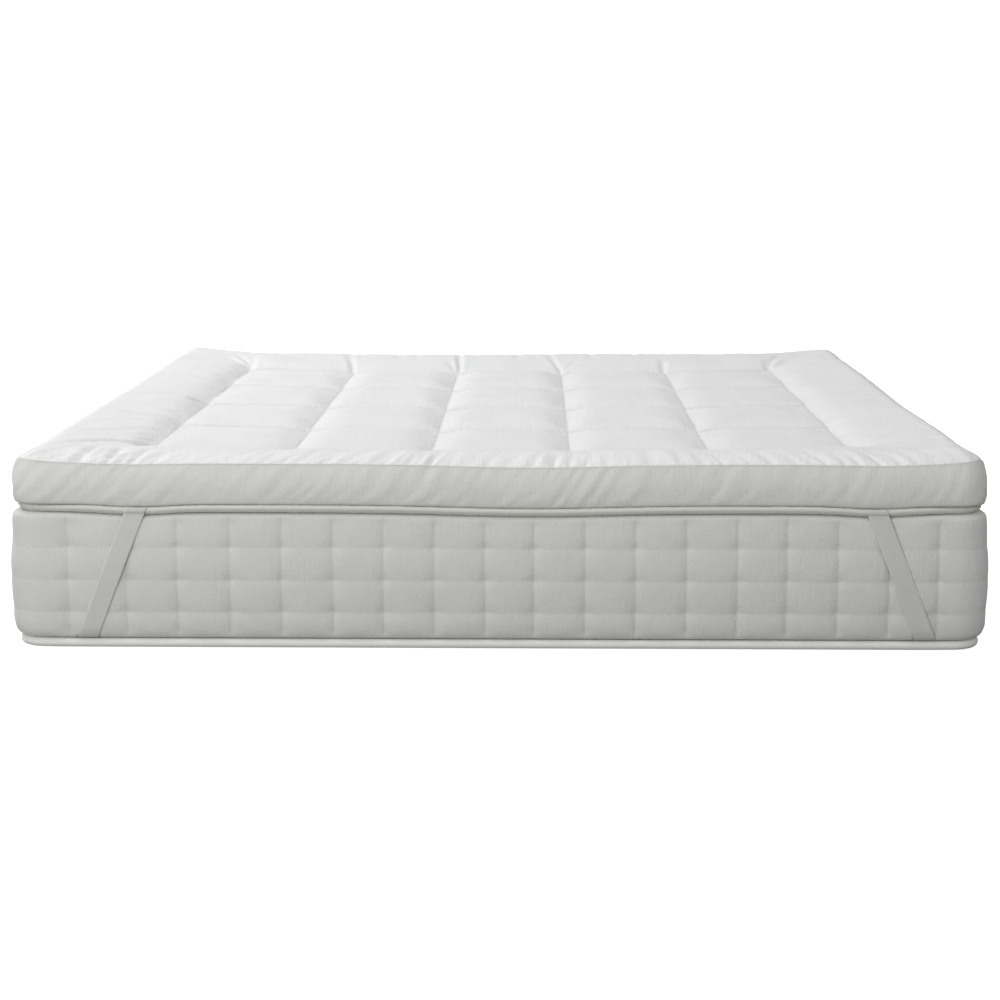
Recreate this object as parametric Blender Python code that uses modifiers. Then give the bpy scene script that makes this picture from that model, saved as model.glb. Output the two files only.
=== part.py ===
"""Quilted mattress topper strapped onto its mattress.

Metres, +Z up. The origin is on the floor, under the middle of the mattress. X runs across the bed,
Y along it, and the foot end is at -Y.

The topper is one filled pad: a quilted top of five columns and four rows of cells inside a plain border,
a side wall that bulges between its two seams, and a drawn-in waist. A rolled edge is sewn round the waist,
and an elastic strap at each corner runs from the waist, down the wall of the mattress, behind the piping,
under the corner and up the next wall. The mattress has a quilted wall and a piped lower edge.
"""

import math
from typing import NamedTuple

import bmesh
import bpy
from mathutils import Vector

# Driving dimensions
WIDTH = 1.800
LENGTH = 2.000
CORNER_RADIUS = 0.055
MATTRESS_TOP = 0.2550
PAD_BOTTOM = 0.2556
EDGE_SEAM = 0.3460

# Quilted top of the pad
COLUMNS = 5
ROWS = 4
SIDE_BORDER = 0.213
END_BORDER = 0.275
EDGE_SEAM_INSET = 0.0075
BORDER_CREST_RISE = 0.0235
BORDER_SEAM_HEIGHT = 0.3275
CROSSING_HEIGHT = 0.3160
ROW_SEAM_RISE = 0.0040
COLUMN_SEAM_RISE = 0.0020
CELL_CROWN = 0.3355
CROWN_UNEVENNESS = 0.0012
CORNER_LIFT = 0.0070
CORNER_LIFT_REACH = 0.090
DIMPLE_DEPTH = 0.0050
DIMPLE_REACH = 0.045

# Where the grid of the top has its lines: shares of a cell, and distances in from the edge
CELL_SHARES = (-0.80, -0.40, 0.0, 0.40, 0.80)
CORNER_LINES = (0.0, 0.018, 0.0475)
SIDE_BORDER_LINES = (0.090, 0.135, 0.180)
END_BORDER_LINES = (0.100, 0.160, 0.225)

# Rolled edge, straps and piping
ROLL_RADIUS = 0.0080
ROLL_OUT = -0.0065
ROLL_HEIGHT = 0.2640
ROLL_MIDDLE_MARKS = (-0.45, -0.30, -0.15, 0.0, 0.15, 0.30, 0.45)
ROLL_FLAT_HALF = 0.023
ROLL_STRAP_MARKS = (-0.110, -0.060, -ROLL_FLAT_HALF, ROLL_FLAT_HALF, 0.060, 0.110)
CORNER_STEPS = 8
STRAP_WIDTH = 0.036
STRAP_THICKNESS = 0.0015
STRAP_GAP = 0.0005
STRAP_SLANT = 0.3955
PIPING_RADIUS = 0.0085
PIPING_OUT = -0.0070
PIPING_HEIGHT = 0.0088

# Quilted wall of the mattress
TICK_SEAMS_ENDS = (
    -0.7936, -0.6860, -0.5910, -0.4936, -0.3980, -0.3032, -0.2102, -0.1161, -0.0226,
    0.0672, 0.1614, 0.2543, 0.3480, 0.4416, 0.5323, 0.6258, 0.7199, 0.8087,
)
TICK_PITCH_SIDES = 0.0950
TICK_SEAMS_SIDES = tuple((index - 9.5) * TICK_PITCH_SIDES for index in range(20))
TICK_DEPTH = 0.0035
MATTRESS_CORNER_STEPS = 5
SHOULDER_FROM = 0.1615

# How far in from the edge a dip of the edge is felt, on the top and under the pad
DIP_REACH_TOP = 0.140
DIP_REACH_UNDER = 0.045


class Level(NamedTuple):
    """One level of a wall: how far it stands out from the outline, and its height."""

    out: float
    height: float


class TickLevel(NamedTuple):
    """One level of the mattress wall, with the share of the quilting's depth in and between the seams."""

    out: float
    height: float
    at_seams: float
    between: float


class Dip(NamedTuple):
    """A place where the edge of the pad is drawn down: across and along the bed, depth and reach."""

    across: float
    along: float
    depth: float
    reach: float


class Strap(NamedTuple):
    """An elastic strap: its corner, and how far from the corner it leaves the waist."""

    name: str
    x_side: int
    y_side: int
    from_corner: float


PAD_WALL = (
    Level(out=-0.0040, height=0.3380),
    Level(out=0.0000, height=0.3220),
    Level(out=0.0014, height=0.3050),
    Level(out=-0.0010, height=0.2880),
    Level(out=-0.0060, height=0.2795),
    Level(out=-0.0118, height=0.2752),
    Level(out=-0.0152, height=0.2700),
    Level(out=-0.0152, height=PAD_BOTTOM),
    Level(out=-0.0500, height=PAD_BOTTOM),
)

MATTRESS_WALL = (
    TickLevel(out=-0.0220, height=0.2540, at_seams=0.0, between=0.0),
    TickLevel(out=-0.0080, height=0.2495, at_seams=0.3, between=0.0),
    TickLevel(out=0.0000, height=0.2400, at_seams=0.8, between=0.0),
    TickLevel(out=0.0035, height=0.2220, at_seams=1.0, between=0.0),
    TickLevel(out=0.0050, height=0.1920, at_seams=1.0, between=1.0),
    TickLevel(out=0.0055, height=SHOULDER_FROM, at_seams=1.0, between=0.0),
    TickLevel(out=0.0055, height=0.1310, at_seams=1.0, between=1.0),
    TickLevel(out=0.0050, height=0.1010, at_seams=1.0, between=0.0),
    TickLevel(out=0.0040, height=0.0705, at_seams=1.0, between=1.0),
    TickLevel(out=0.0020, height=0.0480, at_seams=1.0, between=0.0),
    TickLevel(out=-0.0050, height=0.0300, at_seams=0.3, between=0.0),
    TickLevel(out=-0.0158, height=0.0205, at_seams=0.0, between=0.0),
    TickLevel(out=-0.0158, height=0.0000, at_seams=0.0, between=0.0),
)

# The strap's middle line, from the waist over the roll and down to the underside of the mattress
STRAP_ROLL_ANGLES = (120, 90, 60, 30, 0, -20)
STRAP_WALL = (
    Level(out=0.0042, height=0.2430),
    Level(out=0.0048, height=0.2220),
    Level(out=0.0068, height=0.1615),
    Level(out=0.0063, height=0.1010),
    Level(out=0.0038, height=0.0480),
    Level(out=-0.0038, height=0.0308),
    Level(out=-0.0130, height=0.0232),
    Level(out=-0.0170, height=0.0180),
    Level(out=-0.0174, height=0.0060),
    Level(out=-0.0182, height=0.0028),
    Level(out=-0.0200, height=0.00135),
)
STRAP_UNDER_STEPS = 6
STRAP_UNDER_HANDLE = 0.055
CUT_FROM_HEIGHT = 0.0500
CUT_SIDE_ROOM = 0.0008
CUT_THICKNESS = 0.0036
CUT_OFFSET = 0.30

STRAPS = (
    Strap(name="strap_front_left", x_side=-1, y_side=-1, from_corner=0.236),
    Strap(name="strap_front_right", x_side=1, y_side=-1, from_corner=0.207),
    Strap(name="strap_back_left", x_side=-1, y_side=1, from_corner=0.222),
    Strap(name="strap_back_right", x_side=1, y_side=1, from_corner=0.218),
)

STRAP_DIP = 0.0050
STRAP_DIP_REACH = 0.070
STRAP_DIP_AT_TOP = 0.35
EDGE_DIPS = (
    Dip(across=0.060, along=-1.0, depth=0.0060, reach=0.200),
    Dip(across=-0.080, along=1.0, depth=0.0050, reach=0.260),
    Dip(across=-0.9, along=0.150, depth=0.0050, reach=0.300),
    Dip(across=0.9, along=-0.120, depth=0.0045, reach=0.280),
)

FABRICS = {
    "topper_cloth": ((0.830, 0.835, 0.840), 0.92),
    "topper_edge": ((0.760, 0.765, 0.765), 0.92),
    "elastic": ((0.560, 0.570, 0.540), 0.85),
    "mattress_tick": ((0.640, 0.645, 0.650), 0.95),
    "mattress_piping": ((0.620, 0.622, 0.612), 0.90),
}


def clear_scene():
    for old in list(bpy.data.objects):
        bpy.data.objects.remove(old, do_unlink=True)


def make_collection(name):
    collection = bpy.data.collections.new(name)
    bpy.context.scene.collection.children.link(collection)
    return collection


def fabric(name):
    """Returns the cloth of that name, made once."""
    found = bpy.data.materials.get(name)
    if found:
        return found
    colour, roughness = FABRICS[name]
    material = bpy.data.materials.new(name)
    material.use_nodes = True
    shader = material.node_tree.nodes["Principled BSDF"]
    shader.inputs["Base Color"].default_value = (*colour, 1.0)
    shader.inputs["Roughness"].default_value = roughness
    shader.inputs["Metallic"].default_value = 0.0
    return material


def add_object(name, mesh, collection, material=None):
    """Wraps a bmesh in an object and frees the bmesh."""
    data = bpy.data.meshes.new(name)
    mesh.to_mesh(data)
    mesh.free()
    data.shade_smooth()
    if material:
        data.materials.append(material)
    made = bpy.data.objects.new(name, data)
    collection.objects.link(made)
    return made


def smooth_step(share):
    share = min(max(share, 0.0), 1.0)
    return share * share * (3.0 - 2.0 * share)


# Outline of the bed and the dips of its edge

def corner_centre(x_side, y_side):
    """Middle of the arc that rounds one corner of the outline."""
    return Vector((x_side * (WIDTH / 2 - CORNER_RADIUS), y_side * (LENGTH / 2 - CORNER_RADIUS), 0.0))


def outward(point):
    """Direction that points out of the outline at a point on it."""
    x_side = math.copysign(1.0, point.x)
    y_side = math.copysign(1.0, point.y)
    beyond = Vector((point.x, point.y, 0.0)) - corner_centre(x_side, y_side)
    if beyond.x * x_side > 1e-6 and beyond.y * y_side > 1e-6:
        return beyond.normalized()
    if beyond.x * x_side > beyond.y * y_side:
        return Vector((x_side, 0.0, 0.0))
    return Vector((0.0, y_side, 0.0))


def edge_distance(x, y):
    """How far a point of the top lies in from the outline."""
    across = abs(x) - (WIDTH / 2 - CORNER_RADIUS)
    along = abs(y) - (LENGTH / 2 - CORNER_RADIUS)
    if across > 0.0 and along > 0.0:
        return CORNER_RADIUS - math.hypot(across, along)
    return CORNER_RADIUS - max(across, along)


def strap_position(strap, on_end):
    """Where a strap's middle line leaves the waist, along the end or the side of the bed."""
    if on_end:
        return strap.x_side * (WIDTH / 2 - strap.from_corner)
    return strap.y_side * (LENGTH / 2 - strap.from_corner)


def strap_dips():
    """The dips that the straps pull in the edge, two for each strap."""
    dips = []
    for strap in STRAPS:
        dips.append(Dip(strap_position(strap, True), strap.y_side * LENGTH / 2, STRAP_DIP, STRAP_DIP_REACH))
        dips.append(Dip(strap.x_side * WIDTH / 2, strap_position(strap, False), STRAP_DIP, STRAP_DIP_REACH))
    return dips


def edge_dip(x, y, reach_in=DIP_REACH_UNDER, at_straps=1.0):
    """How far the edge of the pad, and the shoulder under it, is drawn down at a point."""
    dips = list(EDGE_DIPS)
    dips += [dip._replace(depth=dip.depth * at_straps) for dip in strap_dips()]
    total = 0.0
    for dip in dips:
        on_end = abs(dip.along) > LENGTH / 2 - 1e-6
        if on_end:
            past = (x - dip.across) / dip.reach
            inward = abs(y - dip.along)
        else:
            past = (y - dip.along) / dip.reach
            inward = abs(x - dip.across)
        total += dip.depth * math.exp(-past * past) * (1.0 - smooth_step(inward / reach_in))
    return total


def top_dip(x, y):
    """How far the top of the pad is drawn down at its edge. The straps hardly reach it."""
    return edge_dip(x, y, DIP_REACH_TOP, STRAP_DIP_AT_TOP)


def corner_lift(x, y):
    """How far the edge seam rises toward the corners."""
    away = math.hypot(WIDTH / 2 - abs(x), LENGTH / 2 - abs(y))
    return CORNER_LIFT * math.exp(-((away / CORNER_LIFT_REACH) ** 2))


# Pad of the topper

def grid_lines(half, border, count, border_lines):
    """Positions of the grid lines along one axis, edge to edge, with a line on every quilting seam."""
    inset = EDGE_SEAM_INSET
    near_edge = [-half + inset + line for line in CORNER_LINES]
    near_edge += [-half + line for line in border_lines]
    cell = 2.0 * (half - border) / count
    middle = []
    for index in range(count):
        centre = -half + border + (index + 0.5) * cell
        middle.append(centre - cell / 2)
        middle += [centre + share * cell / 2 for share in CELL_SHARES]
    middle.append(half - border)
    return near_edge + middle + [-line for line in reversed(near_edge)]


def crossing_height(column, row):
    """Height of the quilting where two seams cross: the border's seams lie higher than the inner ones."""
    on_border = column in (0, COLUMNS) or row in (0, ROWS)
    return BORDER_SEAM_HEIGHT if on_border else CROSSING_HEIGHT


def cell_height(x, y):
    """Height of the quilted cells, inside the border."""
    cell_width = (WIDTH - 2 * SIDE_BORDER) / COLUMNS
    cell_length = (LENGTH - 2 * END_BORDER) / ROWS
    across = (x + WIDTH / 2 - SIDE_BORDER) / cell_width
    along = (y + LENGTH / 2 - END_BORDER) / cell_length
    column = min(max(int(across), 0), COLUMNS - 1)
    row = min(max(int(along), 0), ROWS - 1)
    share_x = across - column
    share_y = along - row
    near = crossing_height(column, row) * (1 - share_x) + crossing_height(column + 1, row) * share_x
    far = crossing_height(column, row + 1) * (1 - share_x) + crossing_height(column + 1, row + 1) * share_x
    seams = near * (1 - share_y) + far * share_y
    u = min(abs(2 * share_x - 1), 1.0)
    v = min(abs(2 * share_y - 1), 1.0)
    open_u = 1 - u * u
    open_v = 1 - v * v
    rise = ROW_SEAM_RISE * open_u + COLUMN_SEAM_RISE * open_v * (1 - open_u)
    crown = CELL_CROWN + CROWN_UNEVENNESS * math.sin(2.1 * column + 1.3 * row)
    pillow = (1 - u**2.6) * (1 - v**2.6) ** 0.80
    return seams + rise + (crown - seams - ROW_SEAM_RISE) * pillow


def border_height(x, y):
    """Height of the border, from the edge seam over its crest down to the border's own seam."""
    inside_x = WIDTH / 2 - SIDE_BORDER
    inside_y = LENGTH / 2 - END_BORDER
    from_edge = max(edge_distance(x, y) - EDGE_SEAM_INSET, 0.0)
    from_seam = math.hypot(max(abs(x) - inside_x, 0.0), max(abs(y) - inside_y, 0.0))
    share = from_edge / (from_edge + from_seam)
    seam_x = min(max(x, -inside_x), inside_x)
    seam_y = min(max(y, -inside_y), inside_y)
    seam = cell_height(seam_x, seam_y)
    edge = EDGE_SEAM + corner_lift(x, y)
    crest = BORDER_CREST_RISE * math.sin(math.pi * share**0.85)
    return edge * (1 - share) + seam * share + crest


def dimple(x, y):
    """The gathers round each crossing on the border's seam, which reach into the border."""
    cell_width = (WIDTH - 2 * SIDE_BORDER) / COLUMNS
    cell_length = (LENGTH - 2 * END_BORDER) / ROWS
    nearest_x = round((x + WIDTH / 2 - SIDE_BORDER) / cell_width)
    nearest_y = round((y + LENGTH / 2 - END_BORDER) / cell_length)
    seam_x = min(max(nearest_x, 0), COLUMNS) * cell_width - WIDTH / 2 + SIDE_BORDER
    seam_y = min(max(nearest_y, 0), ROWS) * cell_length - LENGTH / 2 + END_BORDER
    away = math.hypot(x - seam_x, y - seam_y) / DIMPLE_REACH
    return DIMPLE_DEPTH * math.exp(-away * away)


def pad_height(x, y):
    """Height of the pad's top over any point of the bed."""
    in_cells = abs(x) <= WIDTH / 2 - SIDE_BORDER + 1e-6 and abs(y) <= LENGTH / 2 - END_BORDER + 1e-6
    if in_cells:
        return cell_height(x, y)
    return border_height(x, y) - dimple(x, y) - top_dip(x, y)


def round_corner(x, y):
    """Moves a point of the square grid so that the grid's corners follow the arc of the edge seam."""
    radius = CORNER_RADIUS - EDGE_SEAM_INSET
    across = abs(x) - (WIDTH / 2 - CORNER_RADIUS)
    along = abs(y) - (LENGTH / 2 - CORNER_RADIUS)
    if across <= 0.0 or along <= 0.0:
        return x, y
    share_x = across / radius
    share_y = along / radius
    new_x = across * math.sqrt(1 - share_y * share_y / 2)
    new_y = along * math.sqrt(1 - share_x * share_x / 2)
    centre = corner_centre(math.copysign(1, x), math.copysign(1, y))
    return centre.x + math.copysign(new_x, x), centre.y + math.copysign(new_y, y)


def extrude_rings(mesh, ring, levels, place):
    """Extrudes a closed ring once for each level. The ring maps each vertex to its place on the outline."""
    for level in levels:
        edges = [
            edge for edge in mesh.edges
            if len(edge.link_faces) < 2 and edge.verts[0] in ring and edge.verts[1] in ring
        ]
        made = bmesh.ops.extrude_edge_only(mesh, edges=edges)["geom"]
        grown = {}
        for vert in made:
            if isinstance(vert, bmesh.types.BMVert):
                parents = [edge.other_vert(vert) for edge in vert.link_edges]
                grown[vert] = next(ring[parent] for parent in parents if parent in ring)
        for vert, station in grown.items():
            vert.co = place(level, station)
        ring = grown
    return ring


def close_ring(mesh, ring):
    """Fills the flat face that a ring bounds."""
    edges = [edge for edge in mesh.edges if len(edge.link_faces) < 2 and all(v in ring for v in edge.verts)]
    bmesh.ops.edgeloop_fill(mesh, edges=edges)


def place_on_pad(level, station):
    """A point of the pad's wall, which dips with the edge and rises with its corners near the top seam."""
    away = outward(station)
    spot = station + away * level.out
    above_waist = smooth_step((level.height - ROLL_HEIGHT) / (EDGE_SEAM - ROLL_HEIGHT))
    lift = corner_lift(station.x, station.y) * above_waist
    depth = edge_dip(spot.x, spot.y) * (1.0 - above_waist) + top_dip(station.x, station.y) * above_waist
    return Vector((spot.x, spot.y, level.height + lift - depth))


def build_pad(collection):
    x_lines = grid_lines(WIDTH / 2, SIDE_BORDER, COLUMNS, SIDE_BORDER_LINES)
    y_lines = grid_lines(LENGTH / 2, END_BORDER, ROWS, END_BORDER_LINES)
    mesh = bmesh.new()
    bmesh.ops.create_grid(mesh, x_segments=len(x_lines) - 1, y_segments=len(y_lines) - 1, size=1.0)
    for vert in mesh.verts:
        x = x_lines[round((vert.co.x + 1) / 2 * (len(x_lines) - 1))]
        y = y_lines[round((vert.co.y + 1) / 2 * (len(y_lines) - 1))]
        x, y = round_corner(x, y)
        vert.co = Vector((x, y, pad_height(x, y)))
    ring = {}
    for vert in mesh.verts:
        if vert.is_boundary:
            seam = Vector((vert.co.x, vert.co.y, 0.0))
            ring[vert] = seam + outward(seam) * EDGE_SEAM_INSET
    ring = extrude_rings(mesh, ring, PAD_WALL, place_on_pad)
    close_ring(mesh, ring)
    bmesh.ops.recalc_face_normals(mesh, faces=mesh.faces)
    return add_object("topper_pad", mesh, collection, fabric("topper_cloth"))


# Rings: the rolled edge of the topper and the piping of the mattress

def corner_arc(x_side, y_side, steps, start_on_end):
    """Points of the outline round one corner, from the foot or head end to the long side, or back."""
    centre = corner_centre(x_side, y_side)
    points = []
    for step in range(steps + 1):
        turn = math.pi / 2 * step / steps
        if not start_on_end:
            turn = math.pi / 2 - turn
        direction = Vector((x_side * math.sin(turn), y_side * math.cos(turn), 0.0))
        points.append(centre + direction * CORNER_RADIUS)
    return points


def outline(marks, corner_steps):
    """Points round the bed's outline: the marks on each side, and the arcs between them."""
    half_x = WIDTH / 2
    half_y = LENGTH / 2
    points = [Vector((mark, -half_y, 0.0)) for mark in marks["front"]]
    points += corner_arc(1, -1, corner_steps, True)
    points += [Vector((half_x, mark, 0.0)) for mark in marks["right"]]
    points += corner_arc(1, 1, corner_steps, False)
    points += [Vector((mark, half_y, 0.0)) for mark in reversed(marks["back"])]
    points += corner_arc(-1, 1, corner_steps, True)
    points += [Vector((-half_x, mark, 0.0)) for mark in reversed(marks["left"])]
    points += corner_arc(-1, -1, corner_steps, False)
    return points


def roll_marks(on_end, straps):
    """Marks for one side of the rolled edge: close together round each strap, far apart between them."""
    marks = list(ROLL_MIDDLE_MARKS)
    for strap in straps:
        marks += [strap_position(strap, on_end) + step for step in ROLL_STRAP_MARKS]
    return sorted(marks)


def all_roll_marks():
    return {
        "front": roll_marks(True, [strap for strap in STRAPS if strap.y_side < 0]),
        "right": roll_marks(False, [strap for strap in STRAPS if strap.x_side > 0]),
        "back": roll_marks(True, [strap for strap in STRAPS if strap.y_side > 0]),
        "left": roll_marks(False, [strap for strap in STRAPS if strap.x_side < 0]),
    }


def build_ring(name, level, radius, marks, follows_dips, collection, material):
    """A cord-like ring that follows the outline: a closed curve with a round section."""
    points = outline(marks, CORNER_STEPS)
    curve = bpy.data.curves.new(name, "CURVE")
    curve.dimensions = "3D"
    curve.bevel_depth = radius
    curve.bevel_resolution = 2
    curve.twist_mode = "Z_UP"
    spline = curve.splines.new("POLY")
    spline.points.add(len(points) - 1)
    spline.use_cyclic_u = True
    for control, point in zip(spline.points, points):
        spot = point + outward(point) * level.out
        height = level.height
        if follows_dips:
            height -= edge_dip(spot.x, spot.y)
        control.co = (spot.x, spot.y, height, 1.0)
    curve.materials.append(material)
    made = bpy.data.objects.new(name, curve)
    collection.objects.link(made)
    return made


# Straps

class StripPoint(NamedTuple):
    """A point of a strap's middle line, and half of the strap's width as a vector there."""

    middle: Vector
    half_width: Vector


def strap_descent(strap, on_end):
    """The strap's points down one wall, from the waist to the underside, on the end or the side wall."""
    along_axis = Vector((strap.x_side, 0.0, 0.0)) if on_end else Vector((0.0, strap.y_side, 0.0))
    out_axis = Vector((0.0, strap.y_side, 0.0)) if on_end else Vector((strap.x_side, 0.0, 0.0))
    along_half = WIDTH / 2 if on_end else LENGTH / 2
    out_half = LENGTH / 2 if on_end else WIDTH / 2
    half_width = along_axis * (STRAP_WIDTH / 2 * math.hypot(1.0, STRAP_SLANT))
    flat_end = along_half - strap.from_corner + ROLL_FLAT_HALF
    start = out_axis * (out_half + ROLL_OUT) + along_axis * flat_end
    waist_drop = edge_dip(start.x, start.y)
    wrap = ROLL_RADIUS + STRAP_GAP + STRAP_THICKNESS / 2
    levels = []
    for angle in STRAP_ROLL_ANGLES:
        turn = math.radians(angle)
        out = ROLL_OUT + wrap * math.cos(turn)
        levels.append(Level(out, ROLL_HEIGHT + wrap * math.sin(turn) - waist_drop))
    levels += STRAP_WALL
    points = []
    for level in levels:
        along = along_half - strap.from_corner + (ROLL_HEIGHT - level.height) * STRAP_SLANT
        middle = out_axis * (out_half + level.out) + along_axis * along
        middle.z = level.height
        points.append(StripPoint(middle, half_width))
    return points


def strap_underside(start, end, out_start, out_end):
    """The strap's points under the corner: a curve from one wall to the other, its width turning with it."""
    heading_start = (out_end - out_start / STRAP_SLANT).normalized()
    heading_end = (out_start - out_end / STRAP_SLANT).normalized()
    handle_start = start.middle + heading_start * STRAP_UNDER_HANDLE
    handle_end = end.middle + heading_end * STRAP_UNDER_HANDLE
    points = []
    for step in range(1, STRAP_UNDER_STEPS):
        share = step / STRAP_UNDER_STEPS
        rest = 1.0 - share
        middle = start.middle * rest**3 + handle_start * (3 * rest * rest * share)
        middle += handle_end * (3 * rest * share * share) + end.middle * share**3
        swing = start.half_width * rest + end.half_width * share
        width = STRAP_WIDTH / 2 + (start.half_width.length - STRAP_WIDTH / 2) * abs(rest - share)
        points.append(StripPoint(middle, swing.normalized() * width))
    return points


def strap_points(strap):
    """All of a strap's points, from the waist on the end wall to the waist on the side wall."""
    on_end = strap_descent(strap, on_end=True)
    on_side = strap_descent(strap, on_end=False)
    out_end = Vector((0.0, strap.y_side, 0.0))
    out_side = Vector((strap.x_side, 0.0, 0.0))
    under = strap_underside(on_end[-1], on_side[-1], out_end, out_side)
    return on_end + under + on_side[::-1]


def strip_mesh(points, extra_width):
    """A flat strip through the points, one face wide, that faces away from the mattress."""
    mesh = bmesh.new()
    steps = len(points) - 1
    bmesh.ops.create_grid(mesh, x_segments=steps, y_segments=1, size=1.0)
    for vert in mesh.verts:
        point = points[round((vert.co.x + 1) / 2 * steps)]
        reach = point.half_width.length + extra_width
        side = math.copysign(reach, vert.co.y)
        vert.co = point.middle + point.half_width.normalized() * side
    mesh.normal_update()
    mesh.faces.ensure_lookup_table()
    upright = [face for face in mesh.faces if abs(face.normal.z) < 0.2]
    widest = max(upright, key=lambda face: face.calc_area())
    middle = widest.calc_center_median()
    if widest.normal.x * middle.x + widest.normal.y * middle.y < 0.0:
        bmesh.ops.reverse_faces(mesh, faces=mesh.faces)
    return mesh


def add_thickness(strip, thickness, offset):
    shell = strip.modifiers.new("thickness", "SOLIDIFY")
    shell.thickness = thickness
    shell.offset = offset
    shell.use_even_offset = True
    return strip


def build_strap(strap, collection):
    mesh = strip_mesh(strap_points(strap), 0.0)
    made = add_object(strap.name, mesh, collection, fabric("elastic"))
    return add_thickness(made, STRAP_THICKNESS, 0.0)


def build_strap_cutter(strap, collection):
    """The room that a strap takes out of the mattress: behind the piping and under the corner."""
    low = [point for point in strap_points(strap) if point.middle.z < CUT_FROM_HEIGHT]
    cutter = add_object(strap.name + "_room", strip_mesh(low, CUT_SIDE_ROOM), collection)
    cutter.hide_render = True
    cutter.display_type = "WIRE"
    return add_thickness(cutter, CUT_THICKNESS, CUT_OFFSET)


# Mattress

def tick_marks(seams):
    """Seams and cell middles on one side, as (position, on a seam) pairs."""
    marks = [(seams[0], True)]
    for before, after in zip(seams, seams[1:]):
        marks.append(((before + after) / 2, False))
        marks.append((after, True))
    return marks


def place_on_mattress(level, station):
    """A point of the mattress wall. Its shoulder dips with the edge of the pad."""
    point, on_seam = station
    groove = TICK_DEPTH * max(level.at_seams * on_seam, level.between)
    spot = point + outward(point) * (level.out - groove)
    shoulder = smooth_step((level.height - SHOULDER_FROM) / (MATTRESS_TOP - SHOULDER_FROM))
    return Vector((spot.x, spot.y, level.height - edge_dip(spot.x, spot.y) * shoulder))


def build_mattress(cutters, collection):
    end_marks = tick_marks(TICK_SEAMS_ENDS)
    side_marks = tick_marks(TICK_SEAMS_SIDES)
    on_seam = {round(mark, 6) for mark, seam in end_marks + side_marks if seam}
    ends = [mark for mark, _ in end_marks]
    sides = [mark for mark, _ in side_marks]
    points = outline({"front": ends, "right": sides, "back": ends, "left": sides}, MATTRESS_CORNER_STEPS)
    stations = []
    for point in points:
        along_end = abs(point.y) > LENGTH / 2 - 1e-6
        mark = point.x if along_end else point.y
        stations.append((point, round(mark, 6) in on_seam))
    top = TickLevel(out=-0.0500, height=MATTRESS_TOP, at_seams=0.0, between=0.0)
    mesh = bmesh.new()
    bmesh.ops.create_circle(mesh, segments=len(stations), radius=1.0, cap_ends=False)
    mesh.verts.ensure_lookup_table()
    ring = {}
    for vert, station in zip(list(mesh.verts), stations):
        ring[vert] = station
        vert.co = place_on_mattress(top, station)
    first = dict(ring)
    last = extrude_rings(mesh, ring, MATTRESS_WALL, place_on_mattress)
    close_ring(mesh, first)
    close_ring(mesh, last)
    bmesh.ops.recalc_face_normals(mesh, faces=mesh.faces)
    made = add_object("mattress_body", mesh, collection, fabric("mattress_tick"))
    for cutter in cutters:
        cut = made.modifiers.new(cutter.name, "BOOLEAN")
        cut.operation = "DIFFERENCE"
        cut.object = cutter
        cut.solver = "MANIFOLD"
    return made


def main():
    clear_scene()
    parts = make_collection("mattress_topper_on_mattress")
    cutters = make_collection("cutters")
    build_pad(parts)
    roll = Level(ROLL_OUT, ROLL_HEIGHT)
    build_ring("topper_piping", roll, ROLL_RADIUS, all_roll_marks(), True, parts, fabric("topper_edge"))
    rooms = []
    for strap in STRAPS:
        build_strap(strap, parts)
        rooms.append(build_strap_cutter(strap, cutters))
    build_mattress(rooms, parts)
    piping = Level(PIPING_OUT, PIPING_HEIGHT)
    no_marks = {"front": [], "right": [], "back": [], "left": []}
    build_ring("mattress_piping", piping, PIPING_RADIUS, no_marks, False, parts, fabric("mattress_piping"))


main()
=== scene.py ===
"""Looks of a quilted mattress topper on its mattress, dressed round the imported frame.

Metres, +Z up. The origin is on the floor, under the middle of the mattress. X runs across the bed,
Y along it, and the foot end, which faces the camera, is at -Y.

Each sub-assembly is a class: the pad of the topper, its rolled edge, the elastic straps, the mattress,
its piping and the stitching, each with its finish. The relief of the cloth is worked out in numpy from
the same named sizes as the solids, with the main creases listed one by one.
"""

import logging
import math
from dataclasses import dataclass, field
from enum import Enum
from functools import cache
from typing import Callable, NamedTuple, Sequence

import bmesh
import bpy
import numpy as np
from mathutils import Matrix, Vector


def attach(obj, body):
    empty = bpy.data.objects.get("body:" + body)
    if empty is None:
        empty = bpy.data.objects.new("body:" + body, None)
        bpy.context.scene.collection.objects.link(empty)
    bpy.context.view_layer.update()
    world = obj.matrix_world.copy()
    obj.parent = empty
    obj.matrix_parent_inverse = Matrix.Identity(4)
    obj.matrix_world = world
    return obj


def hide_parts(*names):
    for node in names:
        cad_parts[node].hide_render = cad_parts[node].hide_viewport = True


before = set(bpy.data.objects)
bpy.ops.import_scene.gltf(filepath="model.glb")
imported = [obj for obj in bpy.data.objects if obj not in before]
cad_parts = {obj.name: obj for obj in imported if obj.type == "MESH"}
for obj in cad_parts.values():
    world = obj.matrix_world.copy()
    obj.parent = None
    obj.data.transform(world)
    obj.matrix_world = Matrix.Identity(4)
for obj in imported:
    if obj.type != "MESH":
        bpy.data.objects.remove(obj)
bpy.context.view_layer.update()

Array = np.ndarray
LOG = logging.getLogger("topper")


# Small tools for smooth shapes

def smooth_step(share: Array) -> Array:
    """Eases a share from 0 to 1, flat at both ends."""
    share = np.clip(share, 0.0, 1.0)
    return share * share * (3.0 - 2.0 * share)


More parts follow.
